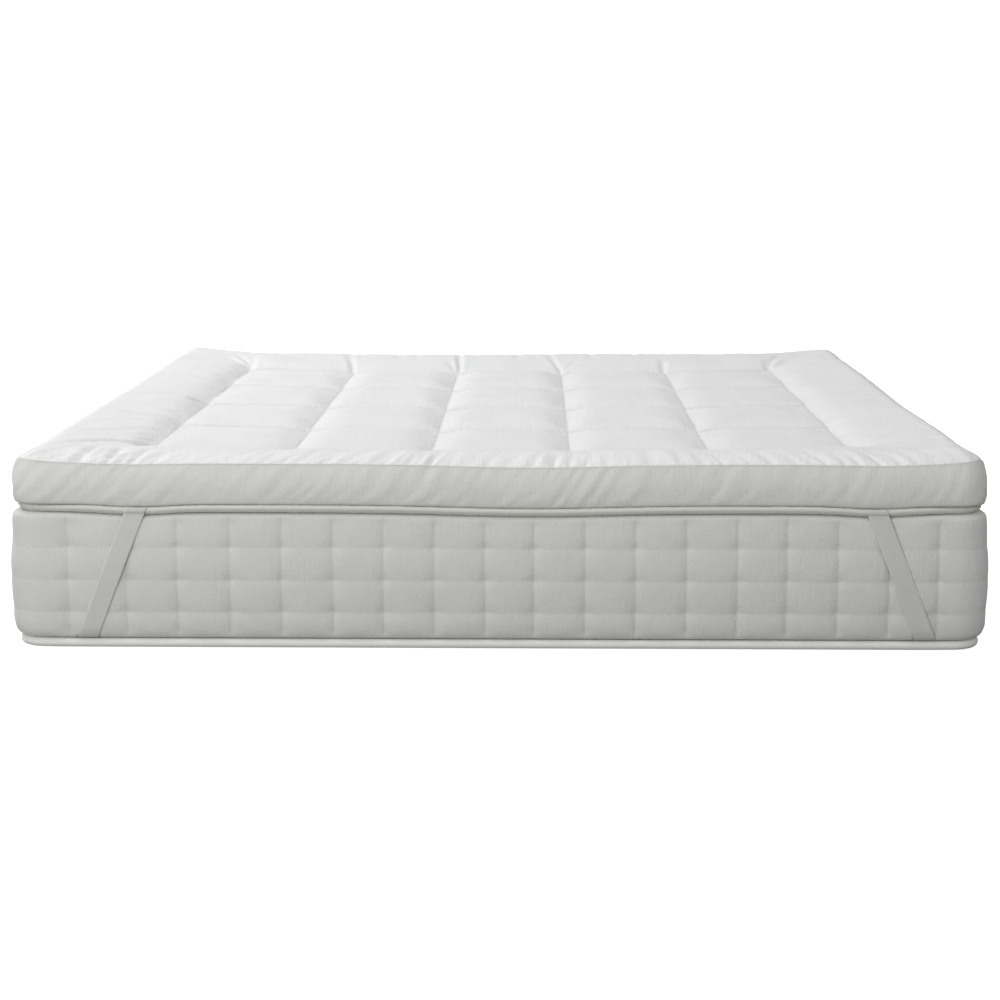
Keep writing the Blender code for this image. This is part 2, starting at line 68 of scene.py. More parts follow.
def cubic(values: Sequence[Array], share: Array) -> Array:
    """Blends four neighbouring values along a smooth curve.

    Args:
        values: The values before, at, after and two after the place.
        share: How far the place is from the second value to the third.

    Returns:
        The blended values.
    """
    a, b, c, d = values
    bend = 3.0 * (b - c) + d - a
    slope = 2.0 * a - 5.0 * b + 4.0 * c - d
    return b + 0.5 * share * (c - a + share * (slope + share * bend))


def curve_through(points: Array, steps: int) -> Array:
    """Samples a smooth open curve that passes through points.

    Args:
        points: One row for each point.
        steps: Samples between one point and the next.

    Returns:
        The samples, both ends included.
    """
    first = 2 * points[:1] - points[1:2]
    last = 2 * points[-1:] - points[-2:-1]
    around = np.vstack([first, points, last])
    share = np.linspace(0.0, 1.0, steps, endpoint=False)[:, None]
    runs = [cubic(around[index:index + 4, None], share) for index in range(len(points) - 1)]
    return np.vstack([*runs, points[-1:]])


def eased_lines(start: float, end: float, count: int, ease: float) -> list[float]:
    """Places grid lines from start up to, but not at, end.

    Args:
        start: Where the first line stands.
        end: Where the next run of lines starts.
        count: Number of gaps between the lines.
        ease: From 0, even, to just under 1, much closer together at the ends.

    Returns:
        The positions.
    """
    share = np.arange(count) / count
    share = share - ease * np.sin(2 * math.pi * share) / (2 * math.pi)
    return list(start + (end - start) * share)


def eased(share: float) -> float:
    """Eases one number as smooth_step does."""
    return float(smooth_step(np.array(share)))


def furrow(span: Array) -> Array:
    """Section of a fold, from the square of the distance from its trough: a hollow between low ridges."""
    return (1 - 0.75 * span) * np.exp(-0.6 * span)


@dataclass(frozen=True)
class Unevenness:
    """A fixed, smooth, uneven field of values between about -1 and 1.

    Attributes:
        seed: Which field it is.
        pitch: Distance between its ups and downs.
        cells: Number of pitches after which it repeats.
    """

    seed: int
    pitch: float
    cells: int = 256

    @classmethod
    def round_trip(cls, seed: int, pitch: float, length: float) -> "Unevenness":
        """A field that closes on itself after a length."""
        cells = max(round(length / pitch), 4)
        return cls(seed, length / cells, cells)

    def along(self, place: Array) -> Array:
        """Values along a line."""
        table = np.random.default_rng(self.seed).uniform(-1.0, 1.0, self.cells)
        whole = np.floor(place / self.pitch).astype(int)
        share = place / self.pitch - whole
        return cubic([table[(whole + step) % self.cells] for step in (-1, 0, 1, 2)], share)

    def over(self, u: Array, v: Array) -> Array:
        """Values over a surface.

        Args:
            u: Places one way.
            v: Places the other way.

        Returns:
            The values.
        """
        table = np.random.default_rng(self.seed).uniform(-1.0, 1.0, (self.cells, 256))
        whole_u = np.floor(u / self.pitch).astype(int)
        whole_v = np.floor(v / self.pitch).astype(int)
        share_u = u / self.pitch - whole_u
        share_v = v / self.pitch - whole_v
        rows = []
        for step_v in (-1, 0, 1, 2):
            row = [table[(whole_u + step) % self.cells, (whole_v + step_v) % 256] for step in (-1, 0, 1, 2)]
            rows.append(cubic(row, share_u))
        return cubic(rows, share_v)

    def puffs(self, place: Array) -> Array:
        """Round puffs with sharp creases between them, about zero on average."""
        return np.abs(self.along(place)) - 0.42


# The bed that every piece follows

class Dip(NamedTuple):
    """A place where the edge of the pad is drawn down: across and along the bed, depth and reach."""

    across: float
    along: float
    depth: float
    reach: float


class StrapPlace(NamedTuple):
    """An elastic strap: its corner, and how far from the corner it leaves the waist."""

    name: str
    x_side: int
    y_side: int
    from_corner: float


STRAP_PLACES = (
    StrapPlace(name="strap_front_left", x_side=-1, y_side=-1, from_corner=0.236),
    StrapPlace(name="strap_front_right", x_side=1, y_side=-1, from_corner=0.207),
    StrapPlace(name="strap_back_left", x_side=-1, y_side=1, from_corner=0.222),
    StrapPlace(name="strap_back_right", x_side=1, y_side=1, from_corner=0.218),
)

EDGE_DIPS = (
    Dip(across=0.060, along=-1.0, depth=0.0060, reach=0.200),
    Dip(across=-0.080, along=1.0, depth=0.0050, reach=0.260),
    Dip(across=-0.9, along=0.150, depth=0.0050, reach=0.300),
    Dip(across=0.9, along=-0.120, depth=0.0045, reach=0.280),
)


class Station(NamedTuple):
    """Places round the bed's outline: where they are, which way is out, and how far round they lie."""

    x: Array
    y: Array
    out_x: Array
    out_y: Array
    round: Array

    def spots(self, out: Array | float) -> tuple[Array, Array]:
        """Places that stand so far out from the stations."""
        return self.x + self.out_x * out, self.y + self.out_y * out


@dataclass(frozen=True)
class Bed:
    """The outline of the bed, and the dips of the topper's edge."""

    half_width: float = 0.900
    half_length: float = 1.000
    corner: float = 0.055
    strap_dip: float = 0.0050
    strap_dip_reach: float = 0.070

    @property
    def girth(self) -> float:
        """Length of the outline."""
        straight = 4 * (self.half_width + self.half_length - 2 * self.corner)
        return straight + 2 * math.pi * self.corner

    def beyond(self, x: Array, y: Array) -> tuple[Array, Array]:
        """How far points lie past the middles of the corners' arcs, across and along the bed."""
        return np.abs(x) - (self.half_width - self.corner), np.abs(y) - (self.half_length - self.corner)

    def outward(self, x: Array, y: Array) -> tuple[Array, Array]:
        """Direction that points out of the outline, at points near it.

        Args:
            x: Places across the bed.
            y: Places along it.

        Returns:
            Its parts across and along the bed.
        """
        past_x, past_y = self.beyond(x, y)
        in_corner = (past_x > 1e-6) & (past_y > 1e-6)
        away = np.where(in_corner, np.hypot(past_x, past_y), 1.0)
        out_x = np.where(in_corner, past_x / away, past_x > past_y)
        out_y = np.where(in_corner, past_y / away, past_x <= past_y)
        return out_x * np.sign(x), out_y * np.sign(y)

    def from_edge(self, x: Array, y: Array) -> Array:
        """How far points lie in from the outline, negative outside it."""
        past_x, past_y = self.beyond(x, y)
        in_corner = (past_x > 0.0) & (past_y > 0.0)
        return self.corner - np.where(in_corner, np.hypot(past_x, past_y), np.maximum(past_x, past_y))

    def cornering(self, x: Array, y: Array, reach: float) -> Array:
        """How near points are to a corner of the bed, from 0 to 1."""
        away = np.hypot(self.half_width - np.abs(x), self.half_length - np.abs(y)) / reach
        return np.exp(-away * away)

    def round_trip(self, x: Array, y: Array) -> Array:
        """How far round the outline points near it lie, from the left end of the foot of the bed.

        Args:
            x: Places across the bed.
            y: Places along it.

        Returns:
            The distances.
        """
        straight = 2 * (np.array([self.half_width, self.half_length] * 2) - self.corner)
        arc = math.pi / 2 * self.corner
        starts = np.array([0.0, straight[0] + arc, straight[0] + straight[1] + 2 * arc,
                           2 * straight[0] + straight[1] + 3 * arc])
        out_x, out_y = self.outward(x, y)
        turn = np.arctan2(out_x, -out_y)
        quarter = np.clip(np.where(turn < -1e-6, turn + 2 * math.pi, turn) / (math.pi / 2), 0.0, 4.0)
        whole = np.floor(quarter + 1e-9)
        side = whole.astype(int) % 4
        half = straight[side] / 2
        inner = np.clip(np.where(side % 2 == 0, x, y), -half, half) * np.where(side < 2, 1, -1)
        share = quarter - whole
        past_side = starts[side] + 2 * half + share * arc
        return np.where(share > 1e-6, past_side, starts[side] + (inner + half)) % self.girth

    def stations(self, marks: Sequence[Sequence[float]], arc_steps: int) -> Station:
        """Places round the outline.

        Args:
            marks: Positions on the foot end, right side, head end and left side, each rising.
            arc_steps: Steps round each corner.

        Returns:
            The stations, from the left end of the foot of the bed towards the right.
        """
        half = (self.half_width, self.half_length)
        runs = []
        for side, side_marks in enumerate(marks):
            on_end = side % 2 == 0
            edge = half[on_end] if side in (1, 2) else -half[on_end]
            ordered = side_marks[::-1] if side > 1 else side_marks
            runs += [(mark, edge) if on_end else (edge, mark) for mark in ordered]
            centre_x = (half[0] - self.corner) * (1 if side < 2 else -1)
            centre_y = (half[1] - self.corner) * (1 if side in (1, 2) else -1)
            for step in range(arc_steps + 1):
                turn = math.pi / 2 * (side - 1) + math.pi / 2 * step / arc_steps
                runs.append((centre_x + self.corner * math.cos(turn),
                             centre_y + self.corner * math.sin(turn)))
        x, y = np.array(runs).T
        return Station(x, y, *self.outward(x, y), self.round_trip(x, y))

    def even_stations(self, pitch: float, arc_steps: int) -> Station:
        """Stations about one pitch apart, with the straps' and corners' places left even.

        Args:
            pitch: Distance between stations.
            arc_steps: Steps round each corner.

        Returns:
            The stations.
        """
        inner_x = self.half_width - self.corner
        inner_y = self.half_length - self.corner
        across = np.linspace(-inner_x, inner_x, max(round(2 * inner_x / pitch), 2) + 1)[1:-1]
        along = np.linspace(-inner_y, inner_y, max(round(2 * inner_y / pitch), 2) + 1)[1:-1]
        return self.stations((across, along, across, along), arc_steps)

    def strap_position(self, strap: StrapPlace, on_end: bool) -> float:
        """Where a strap's middle line leaves the waist, along the end or the side of the bed."""
        if on_end:
            return strap.x_side * (self.half_width - strap.from_corner)
        return strap.y_side * (self.half_length - strap.from_corner)

    def strap_dips(self) -> list[Dip]:
        """The dips that the straps draw, two for each strap."""
        dips = []
        for strap in STRAP_PLACES:
            for place in ((self.strap_position(strap, True), strap.y_side * self.half_length),
                          (strap.x_side * self.half_width, self.strap_position(strap, False))):
                dips.append(Dip(*place, self.strap_dip, self.strap_dip_reach))
        return dips

    def edge_dip(self, x: Array, y: Array, reach_in: float = 0.045, at_straps: float = 1.0) -> Array:
        """How far the edge of the pad, and the shoulder under it, is drawn down.

        Args:
            x: Places across the bed.
            y: Places along it.
            reach_in: How far in from the edge the dips reach.
            at_straps: Share of the straps' own dips.

        Returns:
            The drop.
        """
        total = np.zeros(np.broadcast(x, y).shape)
        for dip in (*EDGE_DIPS, *(dip._replace(depth=dip.depth * at_straps) for dip in self.strap_dips())):
            gap_x, gap_y = x - dip.across, y - dip.along
            on_end = abs(dip.along) > self.half_length - 1e-6
            beside, inward = (gap_x, np.abs(gap_y)) if on_end else (gap_y, np.abs(gap_x))
            share = beside / dip.reach
            total = total + dip.depth * np.exp(-share * share) * (1.0 - smooth_step(inward / reach_in))
        return total


# Making meshes

def unwrapped(mesh: bpy.types.Mesh, places: Array, girth: float) -> Array:
    """Keeps the faces where a round trip ends from reaching all the way back to its start.

    Args:
        mesh: The mesh.
        places: The place on the flat cloth of each face's corner.
        girth: Length of the round trip.

    Returns:
        The places, with the start of the trip moved to its end on those faces.
    """
    starts = np.empty(len(mesh.polygons), dtype=np.int32)
    counts = np.empty(len(mesh.polygons), dtype=np.int32)
    mesh.polygons.foreach_get("loop_start", starts)
    mesh.polygons.foreach_get("loop_total", counts)
    highest = np.repeat(np.maximum.reduceat(places[:, 0], starts), counts)
    lowest = np.repeat(np.minimum.reduceat(places[:, 0], starts), counts)
    small = np.repeat(counts < 5, counts)
    moved = small & (highest - lowest > girth / 2) & (places[:, 0] < girth / 2)
    return places + np.stack([moved * girth, np.zeros(len(places))], axis=-1)


def add_mesh(
    name: str,
    points: Array,
    faces: Sequence[Sequence[int]],
    material: bpy.types.Material,
    flat_places: Array | None = None,
    masks: dict[str, Array] | None = None,
) -> bpy.types.Object:
    """Wraps points and faces in an object at the origin.

    Args:
        name: The piece's name.
        points: One row for each vertex.
        faces: Vertex numbers of each face, which faces outwards.
        material: The piece's finish.
        flat_places: For each vertex, its place on the flat cloth, in metres.
        masks: Values from 0 to 1 for each vertex, by name.

    Returns:
        The object.
    """
    mesh = bpy.data.meshes.new(name)
    mesh.from_pydata([tuple(point) for point in points.tolist()], [], faces)
    if flat_places is not None:
        layer = mesh.uv_layers.new(name="cloth")
        corners = np.empty(len(mesh.loops), dtype=np.int32)
        mesh.loops.foreach_get("vertex_index", corners)
        places = unwrapped(mesh, flat_places[corners], Bed().girth)
        layer.data.foreach_set("uv", places.astype(np.float32).ravel())
    for mask_name, values in (masks or {}).items():
        attribute = mesh.attributes.new(mask_name, "FLOAT", "POINT")
        attribute.data.foreach_set("value", values.astype(np.float32))
    mesh.materials.append(material)
    mesh.shade_smooth()
    mesh.update()
    made = bpy.data.objects.new(name, mesh)
    bpy.context.scene.collection.objects.link(made)
    return made


def grid_faces(rows: int, columns: int) -> list[tuple[int, ...]]:
    """Faces of a grid whose vertices run along its rows, facing up."""
    first = (np.arange(rows - 1)[:, None] * columns + np.arange(columns - 1)).ravel()
    return [(a, a + 1, a + columns + 1, a + columns) for a in first.tolist()]


def band_faces(upper: Array, lower: Array) -> list[tuple[int, ...]]:
    """Faces between two closed rings of vertices that run anticlockwise, facing outwards."""
    return list(zip(lower.tolist(), np.roll(lower, -1).tolist(), np.roll(upper, -1).tolist(), upper.tolist()))


@dataclass
class Skin:
    """A closed piece in the making, with its rings of points joined from the top down.

    Attributes:
        faces: The faces so far.
        layers: The points so far, in blocks.
        flat: For each block, its places on the flat cloth.
        masks: For each block, its values from 0 to 1, by name.
        ring: The vertices of the lowest ring.
    """

    faces: list[tuple[int, ...]]
    layers: list[Array] = field(default_factory=list)
    flat: list[Array] = field(default_factory=list)
    masks: dict[str, list[Array]] = field(default_factory=dict)
    ring: Array | None = None

    def add_ring(self, points: tuple[Array, ...], flat: tuple[Array, Array | float],
                 masks: dict[str, Array | float]) -> None:
        """Adds a ring under the last one.

        Args:
            points: The ring's places across, along and up.
            flat: Its places on the flat cloth.
            masks: Its values from 0 to 1, by name.
        """
        count = len(points[0])
        lower = sum(len(layer) for layer in self.layers) + np.arange(count)
        if self.ring is not None:
            self.faces += band_faces(self.ring, lower)
        self.ring = lower
        self.layers.append(np.stack(points, axis=-1))
        self.flat.append(np.stack([flat[0], np.broadcast_to(flat[1], count)], axis=-1))
        for name, values in masks.items():
            self.masks.setdefault(name, []).append(np.broadcast_to(values, count))

    def closed(self, name: str, material: bpy.types.Material) -> bpy.types.Object:
        """Closes the underside and makes the piece.

        Args:
            name: The piece's name.
            material: Its finish.

        Returns:
            The object.
        """
        self.faces.append(tuple(self.ring[::-1].tolist()))
        masks = {mask: np.concatenate(values) for mask, values in self.masks.items()}
        return add_mesh(name, np.vstack(self.layers), self.faces, material, np.vstack(self.flat), masks)


def bake(made: bpy.types.Object) -> bpy.types.Object:
    """Turns an object's modifiers into plain mesh, and takes them off.

    Args:
        made: A mesh object.

    Returns:
        The same object.
    """
    graph = bpy.context.evaluated_depsgraph_get()
    graph.update()
    result = bpy.data.meshes.new_from_object(made.evaluated_get(graph))
    made.modifiers.clear()
    old = made.data
    made.data = result
    bpy.data.meshes.remove(old)
    made.data.name = made.name
    return made


def report(made: bpy.types.Object) -> None:
    """Logs a piece's name and its number of triangles."""
    triangles = sum(len(face.vertices) - 2 for face in made.data.polygons)
    LOG.info("%s: %d triangles", made.name, triangles)


# Node trees

class Graph:
    """A node tree with short ways to add and join its nodes."""

    def __init__(self, tree: bpy.types.NodeTree) -> None:
        """Wraps a tree."""
        self.tree = tree

    def fill(self, node: bpy.types.Node, inputs: dict) -> bpy.types.Node:
        """Sets a node's inputs.

        Args:
            node: The node.
            inputs: For each input, by name or number, a value or the socket that feeds it.

        Returns:
            The node.
        """
        for key, value in inputs.items():
            if isinstance(value, bpy.types.NodeSocket):
                self.tree.links.new(value, node.inputs[key])
            else:
                node.inputs[key].default_value = value
        return node

    def add(self, kind: str, inputs: dict | None = None, **settings: object) -> bpy.types.Node:
        """Adds a node.

        Args:
            kind: The node's type.
            inputs: For each input, by name or number, a value or the socket that feeds it.
            settings: Properties of the node.

        Returns:
            The node.
        """
        node = self.tree.nodes.new(kind)
        for name, value in settings.items():
            setattr(node, name, value)
        return self.fill(node, inputs or {})

    def math(self, operation: str, *values: object) -> bpy.types.NodeSocket:
        """Adds a sum and returns its result."""
        return self.add("ShaderNodeMath", dict(enumerate(values)), operation=operation).outputs[0]


def new_group(name: str, inputs: dict[str, tuple[str, object]], outputs: dict[str, str],
              kind: str = "ShaderNodeTree") -> Graph:
    """Starts a group of nodes.

    Args:
        name: The group's name.
        inputs: For each input, its kind of socket and its usual value.
        outputs: For each output, its kind of socket.
        kind: The kind of tree.

    Returns:
        The group's graph.
    """
    tree = bpy.data.node_groups.new(name, kind)
    for label, (socket_kind, value) in inputs.items():
        socket = tree.interface.new_socket(name=label, in_out="INPUT", socket_type=socket_kind)
        if value is not None:
            socket.default_value = value
    for label, socket_kind in outputs.items():
        tree.interface.new_socket(name=label, in_out="OUTPUT", socket_type=socket_kind)
    return Graph(tree)


FLOAT = "NodeSocketFloat"
WHOLE = "NodeSocketInt"
VECTOR = "NodeSocketVector"
COLOUR = "NodeSocketColor"


@cache
def weave_group() -> bpy.types.NodeTree:
    """Over-and-under threads on flat places: the height of the cloth.

    Returns:
        The group's tree.
    """
    graph = new_group("woven_threads", {"Place": (VECTOR, None), "Pitch": (FLOAT, 0.001)}, {"Height": FLOAT})
    source = graph.add("NodeGroupInput")
    apart = graph.add("ShaderNodeSeparateXYZ", {0: source.outputs["Place"]})
    turns = []
    for axis in ("X", "Y"):
        cycles = graph.math("DIVIDE", apart.outputs[axis], source.outputs["Pitch"])
        turns.append(graph.math("SINE", graph.math("MULTIPLY", cycles, 2 * math.pi)))
    crossing = graph.math("MULTIPLY", turns[0], turns[1])
    graph.add("NodeGroupOutput", {"Height": graph.math("MULTIPLY_ADD", crossing, 0.5, 0.5)})
    return graph.tree


@cache
def rumple_group() -> bpy.types.NodeTree:
    """Soft small wrinkles and puckers, long one way: the height of the cloth.

    Returns:
        The group's tree.
    """
    inputs = {"Place": (VECTOR, None), "Across": (FLOAT, 60.0), "Along": (FLOAT, 12.0),
              "Sharpness": (FLOAT, 0.5)}
    graph = new_group("soft_rumples", inputs, {"Height": FLOAT})
    source = graph.add("NodeGroupInput")
    stretch = graph.add("ShaderNodeCombineXYZ", {
        0: source.outputs["Across"], 1: source.outputs["Along"], 2: source.outputs["Along"]})
    place = graph.add("ShaderNodeVectorMath", {0: source.outputs["Place"], 1: stretch.outputs[0]},
                      operation="MULTIPLY")
    noise = graph.add("ShaderNodeTexNoise", {"Vector": place.outputs[0], "Scale": 1.0, "Detail": 3.0,
                                             "Roughness": 0.45, "Distortion": 0.35})
    centred = graph.math("SUBTRACT", noise.outputs["Fac"], 0.5)
    creased = graph.math("ABSOLUTE", centred)
    mix = graph.add("ShaderNodeMix", {0: source.outputs["Sharpness"], 2: centred, 3: creased},
                    data_type="FLOAT")
    graph.add("NodeGroupOutput", {"Height": mix.outputs[0]})
    return graph.tree


@cache
def tone_group() -> bpy.types.NodeTree:
    """Uneven tone: two colours of the same cloth in soft patches, and a third blended in by a mask, which
    paints shade into the seams of the topper and the tick, and gives the elastic its lighter selvedges.

    Returns:
        The group's tree.
    """
    inputs = {"Place": (VECTOR, None), "Light": (COLOUR, None), "Shade": (COLOUR, None),
              "Seam": (COLOUR, None), "Patches": (FLOAT, 6.0), "In Seam": (FLOAT, 0.0)}
    graph = new_group("uneven_tone", inputs, {"Colour": COLOUR})
    source = graph.add("NodeGroupInput").outputs
    patches = graph.add("ShaderNodeTexNoise", {"Vector": source["Place"], "Scale": source["Patches"],
                                               "Detail": 4.0, "Roughness": 0.6})
    spread = graph.add("ShaderNodeMapRange", {
        "Value": patches.outputs["Fac"], "From Min": 0.30, "From Max": 0.70})
    cloth = graph.add("ShaderNodeMix", {0: spread.outputs[0], 6: source["Light"], 7: source["Shade"]},
                      data_type="RGBA")
    seam = graph.add("ShaderNodeMix", {0: source["In Seam"], 6: cloth.outputs[2], 7: source["Seam"]},
                     data_type="RGBA")
    graph.add("NodeGroupOutput", {"Colour": seam.outputs[2]})
    return graph.tree


@cache
def fuzz_group() -> bpy.types.NodeTree:
    """Brushed, felted fibres: a fine mottle with faint slanting streaks, as the height of the cloth.

    Returns:
        The group's tree.
    """
    graph = new_group("felted_fibres", {"Place": (VECTOR, None), "Grain": (FLOAT, 420.0)}, {"Height": FLOAT})
    source = graph.add("NodeGroupInput").outputs
    fine = graph.add("ShaderNodeTexNoise", {"Vector": source["Place"], "Scale": source["Grain"],
                                            "Detail": 3.0, "Roughness": 0.7})
    slant = graph.add("ShaderNodeMapping", {"Vector": source["Place"], "Rotation": (0.0, 0.0, 0.75),
                                            "Scale": (150.0, 22.0, 40.0)})
    streaks = graph.add("ShaderNodeTexNoise", {"Vector": slant.outputs[0], "Scale": 1.0, "Detail": 2.0,
                                               "Roughness": 0.5, "Distortion": 0.4})
    mottle = graph.math("MULTIPLY", fine.outputs["Fac"], 0.7)
    graph.add("NodeGroupOutput", {"Height": graph.math("MULTIPLY_ADD", streaks.outputs["Fac"], 0.6, mottle)})
    return graph.tree


@cache
def rib_group() -> bpy.types.NodeTree:
    """Even ribs that run across one direction of the flat places: the height of the cloth.

    Returns:
        The group's tree.
    """
    inputs = {"Place": (VECTOR, None), "Pitch": (FLOAT, 0.002), "Turn": (FLOAT, 0.0)}
    graph = new_group("knit_ribs", inputs, {"Height": FLOAT})
    source = graph.add("NodeGroupInput").outputs
    turned = graph.add("ShaderNodeVectorRotate", {"Vector": source["Place"], "Angle": source["Turn"]},
                       rotation_type="Z_AXIS")
    apart = graph.add("ShaderNodeSeparateXYZ", {0: turned.outputs[0]})
    cycles = graph.math("DIVIDE", apart.outputs["X"], source["Pitch"])
    wave = graph.math("COSINE", graph.math("MULTIPLY", cycles, 2 * math.pi))
    graph.add("NodeGroupOutput", {"Height": graph.math("MULTIPLY_ADD", wave, 0.5, 0.5)})
    return graph.tree


class Shade(NamedTuple):
    """Colours of one cloth: two tones in random patches, and a third that a mask blends in (painted shade in
    seams; the elastic's lighter selvedges).
    """

    light: tuple[float, float, float]
    dark: tuple[float, float, float]
    seam: tuple[float, float, float]


def opaque(colour: tuple[float, float, float]) -> tuple[float, float, float, float]:
    """A colour with full cover."""
    return (*colour, 1.0)


class Relief(NamedTuple):
    """A layer of fine relief: its pattern and the pattern's values, its depth, and where it lies."""

    pattern: Callable[[], bpy.types.NodeTree]
    depth: float
    values: dict[str, float]
    on_cloth: bool = True
    mask: str = ""


@dataclass(frozen=True)
class Finish:
    """A cloth, with its colours, its gloss and the layers of relief in it.

    Attributes:
        name: The material's name.
        shade: The cloth's colours.
        roughness: Its usual roughness.
        sheen: How much light its fibres catch at a low angle.
        patches: Patches of uneven tone to the metre.
        layers: Its fine relief.
        seam_mask: The mesh's values that blend in the third colour: painted shade in the seams of the topper
            and the tick, the lighter selvedges of the elastic.
        painted_wall_shade: A darker, warmer copy of its colours where the mesh is marked as a wall, painted
            as the shade on the upright wall.
    """

    name: str
    shade: Shade
    roughness: float
    sheen: float
    patches: float
    layers: tuple[Relief, ...]
    seam_mask: str = ""
    painted_wall_shade: Shade | None = None

    def material(self) -> bpy.types.Material:
        """Builds the finish.

        Returns:
            The material.
        """
        material = bpy.data.materials.new(self.name)
        material.use_nodes = True
        graph = Graph(material.node_tree)
        shader = material.node_tree.nodes["Principled BSDF"]
        graph.fill(shader, {"Roughness": self.roughness, "Sheen Weight": self.sheen, "Sheen Roughness": 0.5,
                            "Specular IOR Level": 0.25})
        object_place = graph.add("ShaderNodeTexCoord").outputs["Object"]
        cloth_place = graph.add("ShaderNodeUVMap", uv_map="cloth").outputs[0]

        def mask(name: str) -> bpy.types.NodeSocket:
            """The values that the mesh carries under a name."""
            return graph.add("ShaderNodeAttribute", attribute_name=name).outputs["Fac"]

        def tone(shade: Shade) -> bpy.types.NodeSocket:
            """The uneven colour of the cloth."""
            node = graph.add("ShaderNodeGroup", node_tree=tone_group())
            graph.fill(node, {
                "Place": object_place, "Light": opaque(shade.light), "Shade": opaque(shade.dark),
                "Seam": opaque(shade.seam), "Patches": self.patches,
                "In Seam": mask(self.seam_mask) if self.seam_mask else 0.0})
            return node.outputs["Colour"]

        colour = tone(self.shade)
        # Painted shade: on the wall the colour turns to the darker copy of the cloth.
        if self.painted_wall_shade is not None:
            colour = graph.add("ShaderNodeMix", {0: mask("painted_dim_wall"), 6: colour, 7: tone(self.painted_wall_shade)},
                               data_type="RGBA").outputs[2]
        total = None
        for layer in self.layers:
            node = graph.add("ShaderNodeGroup", node_tree=layer.pattern())
            graph.fill(node, {"Place": cloth_place if layer.on_cloth else object_place, **layer.values})
            height = node.outputs[0]
            if layer.mask:
                height = graph.math("MULTIPLY", height, mask(layer.mask))
            height = graph.math("MULTIPLY", height, layer.depth)
            total = height if total is None else graph.math("ADD", total, height)
        bump = graph.add("ShaderNodeBump", {"Height": total, "Strength": 1.0, "Distance": 1.0})
        graph.fill(shader, {"Base Color": colour, "Normal": bump.outputs[0]})
        return material


def rumples(depth: float, across: float, along: float, sharpness: float, on_cloth: bool = True,
            mask: str = "") -> Relief:
    """A layer of soft rumples."""
    return Relief(rumple_group, depth, {"Across": across, "Along": along, "Sharpness": sharpness},
                  on_cloth, mask)


TOPPER_COTTON = Finish(
    "topper_cotton",
    # Its seam colour is painted shade, darkening the cloth along the quilting seams and the edge seam.
    Shade(light=(0.831, 0.831, 0.829), dark=(0.806, 0.807, 0.806), seam=(0.700, 0.700, 0.690)),
    roughness=0.86, sheen=0.12, patches=7.0, seam_mask="painted_seam_shade",
    # A darker, warmer copy of the cloth for the wall: painted shade, with its seam colour painted shade under
    # the edge seam and above the roll.
    painted_wall_shade=Shade(light=(0.747, 0.750, 0.713), dark=(0.720, 0.724, 0.686), seam=(0.590, 0.590, 0.550)),
    layers=(
        Relief(weave_group, 0.00004, {"Pitch": 0.0011}),
        rumples(0.0011, 26.0, 26.0, 0.35, on_cloth=False),
        rumples(0.0022, 95.0, 18.0, 0.6, mask="puckered"),
        Relief(fuzz_group, 0.0012, {"Grain": 190.0}),
    ),
)
# The same cloth as the topper, painted darker and yellower: painted shade for the roll tucked under the wall.
EDGE_COTTON_PAINTED_SHADE = Finish(
    "topper_edge_painted_shade",
    Shade(light=(0.690, 0.687, 0.636), dark=(0.660, 0.657, 0.607), seam=(0.600, 0.600, 0.560)),
    roughness=0.88, sheen=0.10, patches=9.0,
    layers=(Relief(weave_group, 0.00005, {"Pitch": 0.0011}), rumples(0.0012, 90.0, 60.0, 0.5)),
)
KNITTED_ELASTIC = Finish(
    "elastic_knit",
    Shade(light=(0.640, 0.647, 0.610), dark=(0.612, 0.619, 0.581), seam=(0.730, 0.733, 0.703)),
    roughness=0.93, sheen=0.08, patches=25.0, seam_mask="selvedge",
    layers=(
        Relief(rib_group, 0.00020, {"Pitch": 0.0022, "Turn": 0.0}),
        Relief(rib_group, 0.00012, {"Pitch": 0.0016, "Turn": math.pi / 2}),
    ),
)
FELTED_TICK = Finish(
    "mattress_knit_tick",
    # Its seam colour is painted shade, darkening the tick along its upright seams and rows.
    Shade(light=(0.694, 0.694, 0.670), dark=(0.672, 0.672, 0.645), seam=(0.650, 0.650, 0.621)),
    roughness=0.96, sheen=0.25, patches=11.0, seam_mask="painted_seam_shade",
    layers=(Relief(fuzz_group, 0.0016, {"Grain": 230.0}), rumples(0.0012, 45.0, 30.0, 0.3)),
)
PIPING_TAPE = Finish(
    "mattress_piping_tape",
    Shade(light=(0.872, 0.870, 0.834), dark=(0.838, 0.836, 0.803), seam=(0.600, 0.600, 0.580)),
    roughness=0.90, sheen=0.10, patches=14.0, layers=(rumples(0.0003, 240.0, 240.0, 0.2, on_cloth=False),),
)
SEWING_THREAD = Finish(
    "topper_thread",
    Shade(light=(0.780, 0.782, 0.780), dark=(0.7254, 0.72726, 0.7254), seam=(0.7254, 0.72726, 0.7254)),
    roughness=0.70, sheen=0.05, patches=60.0, layers=(rumples(0.0001, 900.0, 900.0, 0.5, on_cloth=False),),
)


# The pad of the topper

class Crease(NamedTuple):
    """A fold in the top cloth: the path of its trough, how deep and wide, and its strength at the ends."""

    path: Array
    depth: float
    width: float
    start: float
    end: float

    @classmethod
    def from_row(cls, depth: int, width: int, start: int, end: int, *path: int) -> "Crease":
        """A crease from a row of whole numbers.

        Args:
            depth: Its depth, in tenths of a millimetre.
            width: Its width, in tenths of a millimetre.
            start: Its strength where it starts, in hundredths.
            end: Its strength where it ends, in hundredths.
            path: The places across and along the bed that it passes through, in millimetres.

        Returns:
            The crease.
        """
        return cls(np.array(path).reshape(-1, 2) / 1000, depth / 10000, width / 10000, start / 100, end / 100)


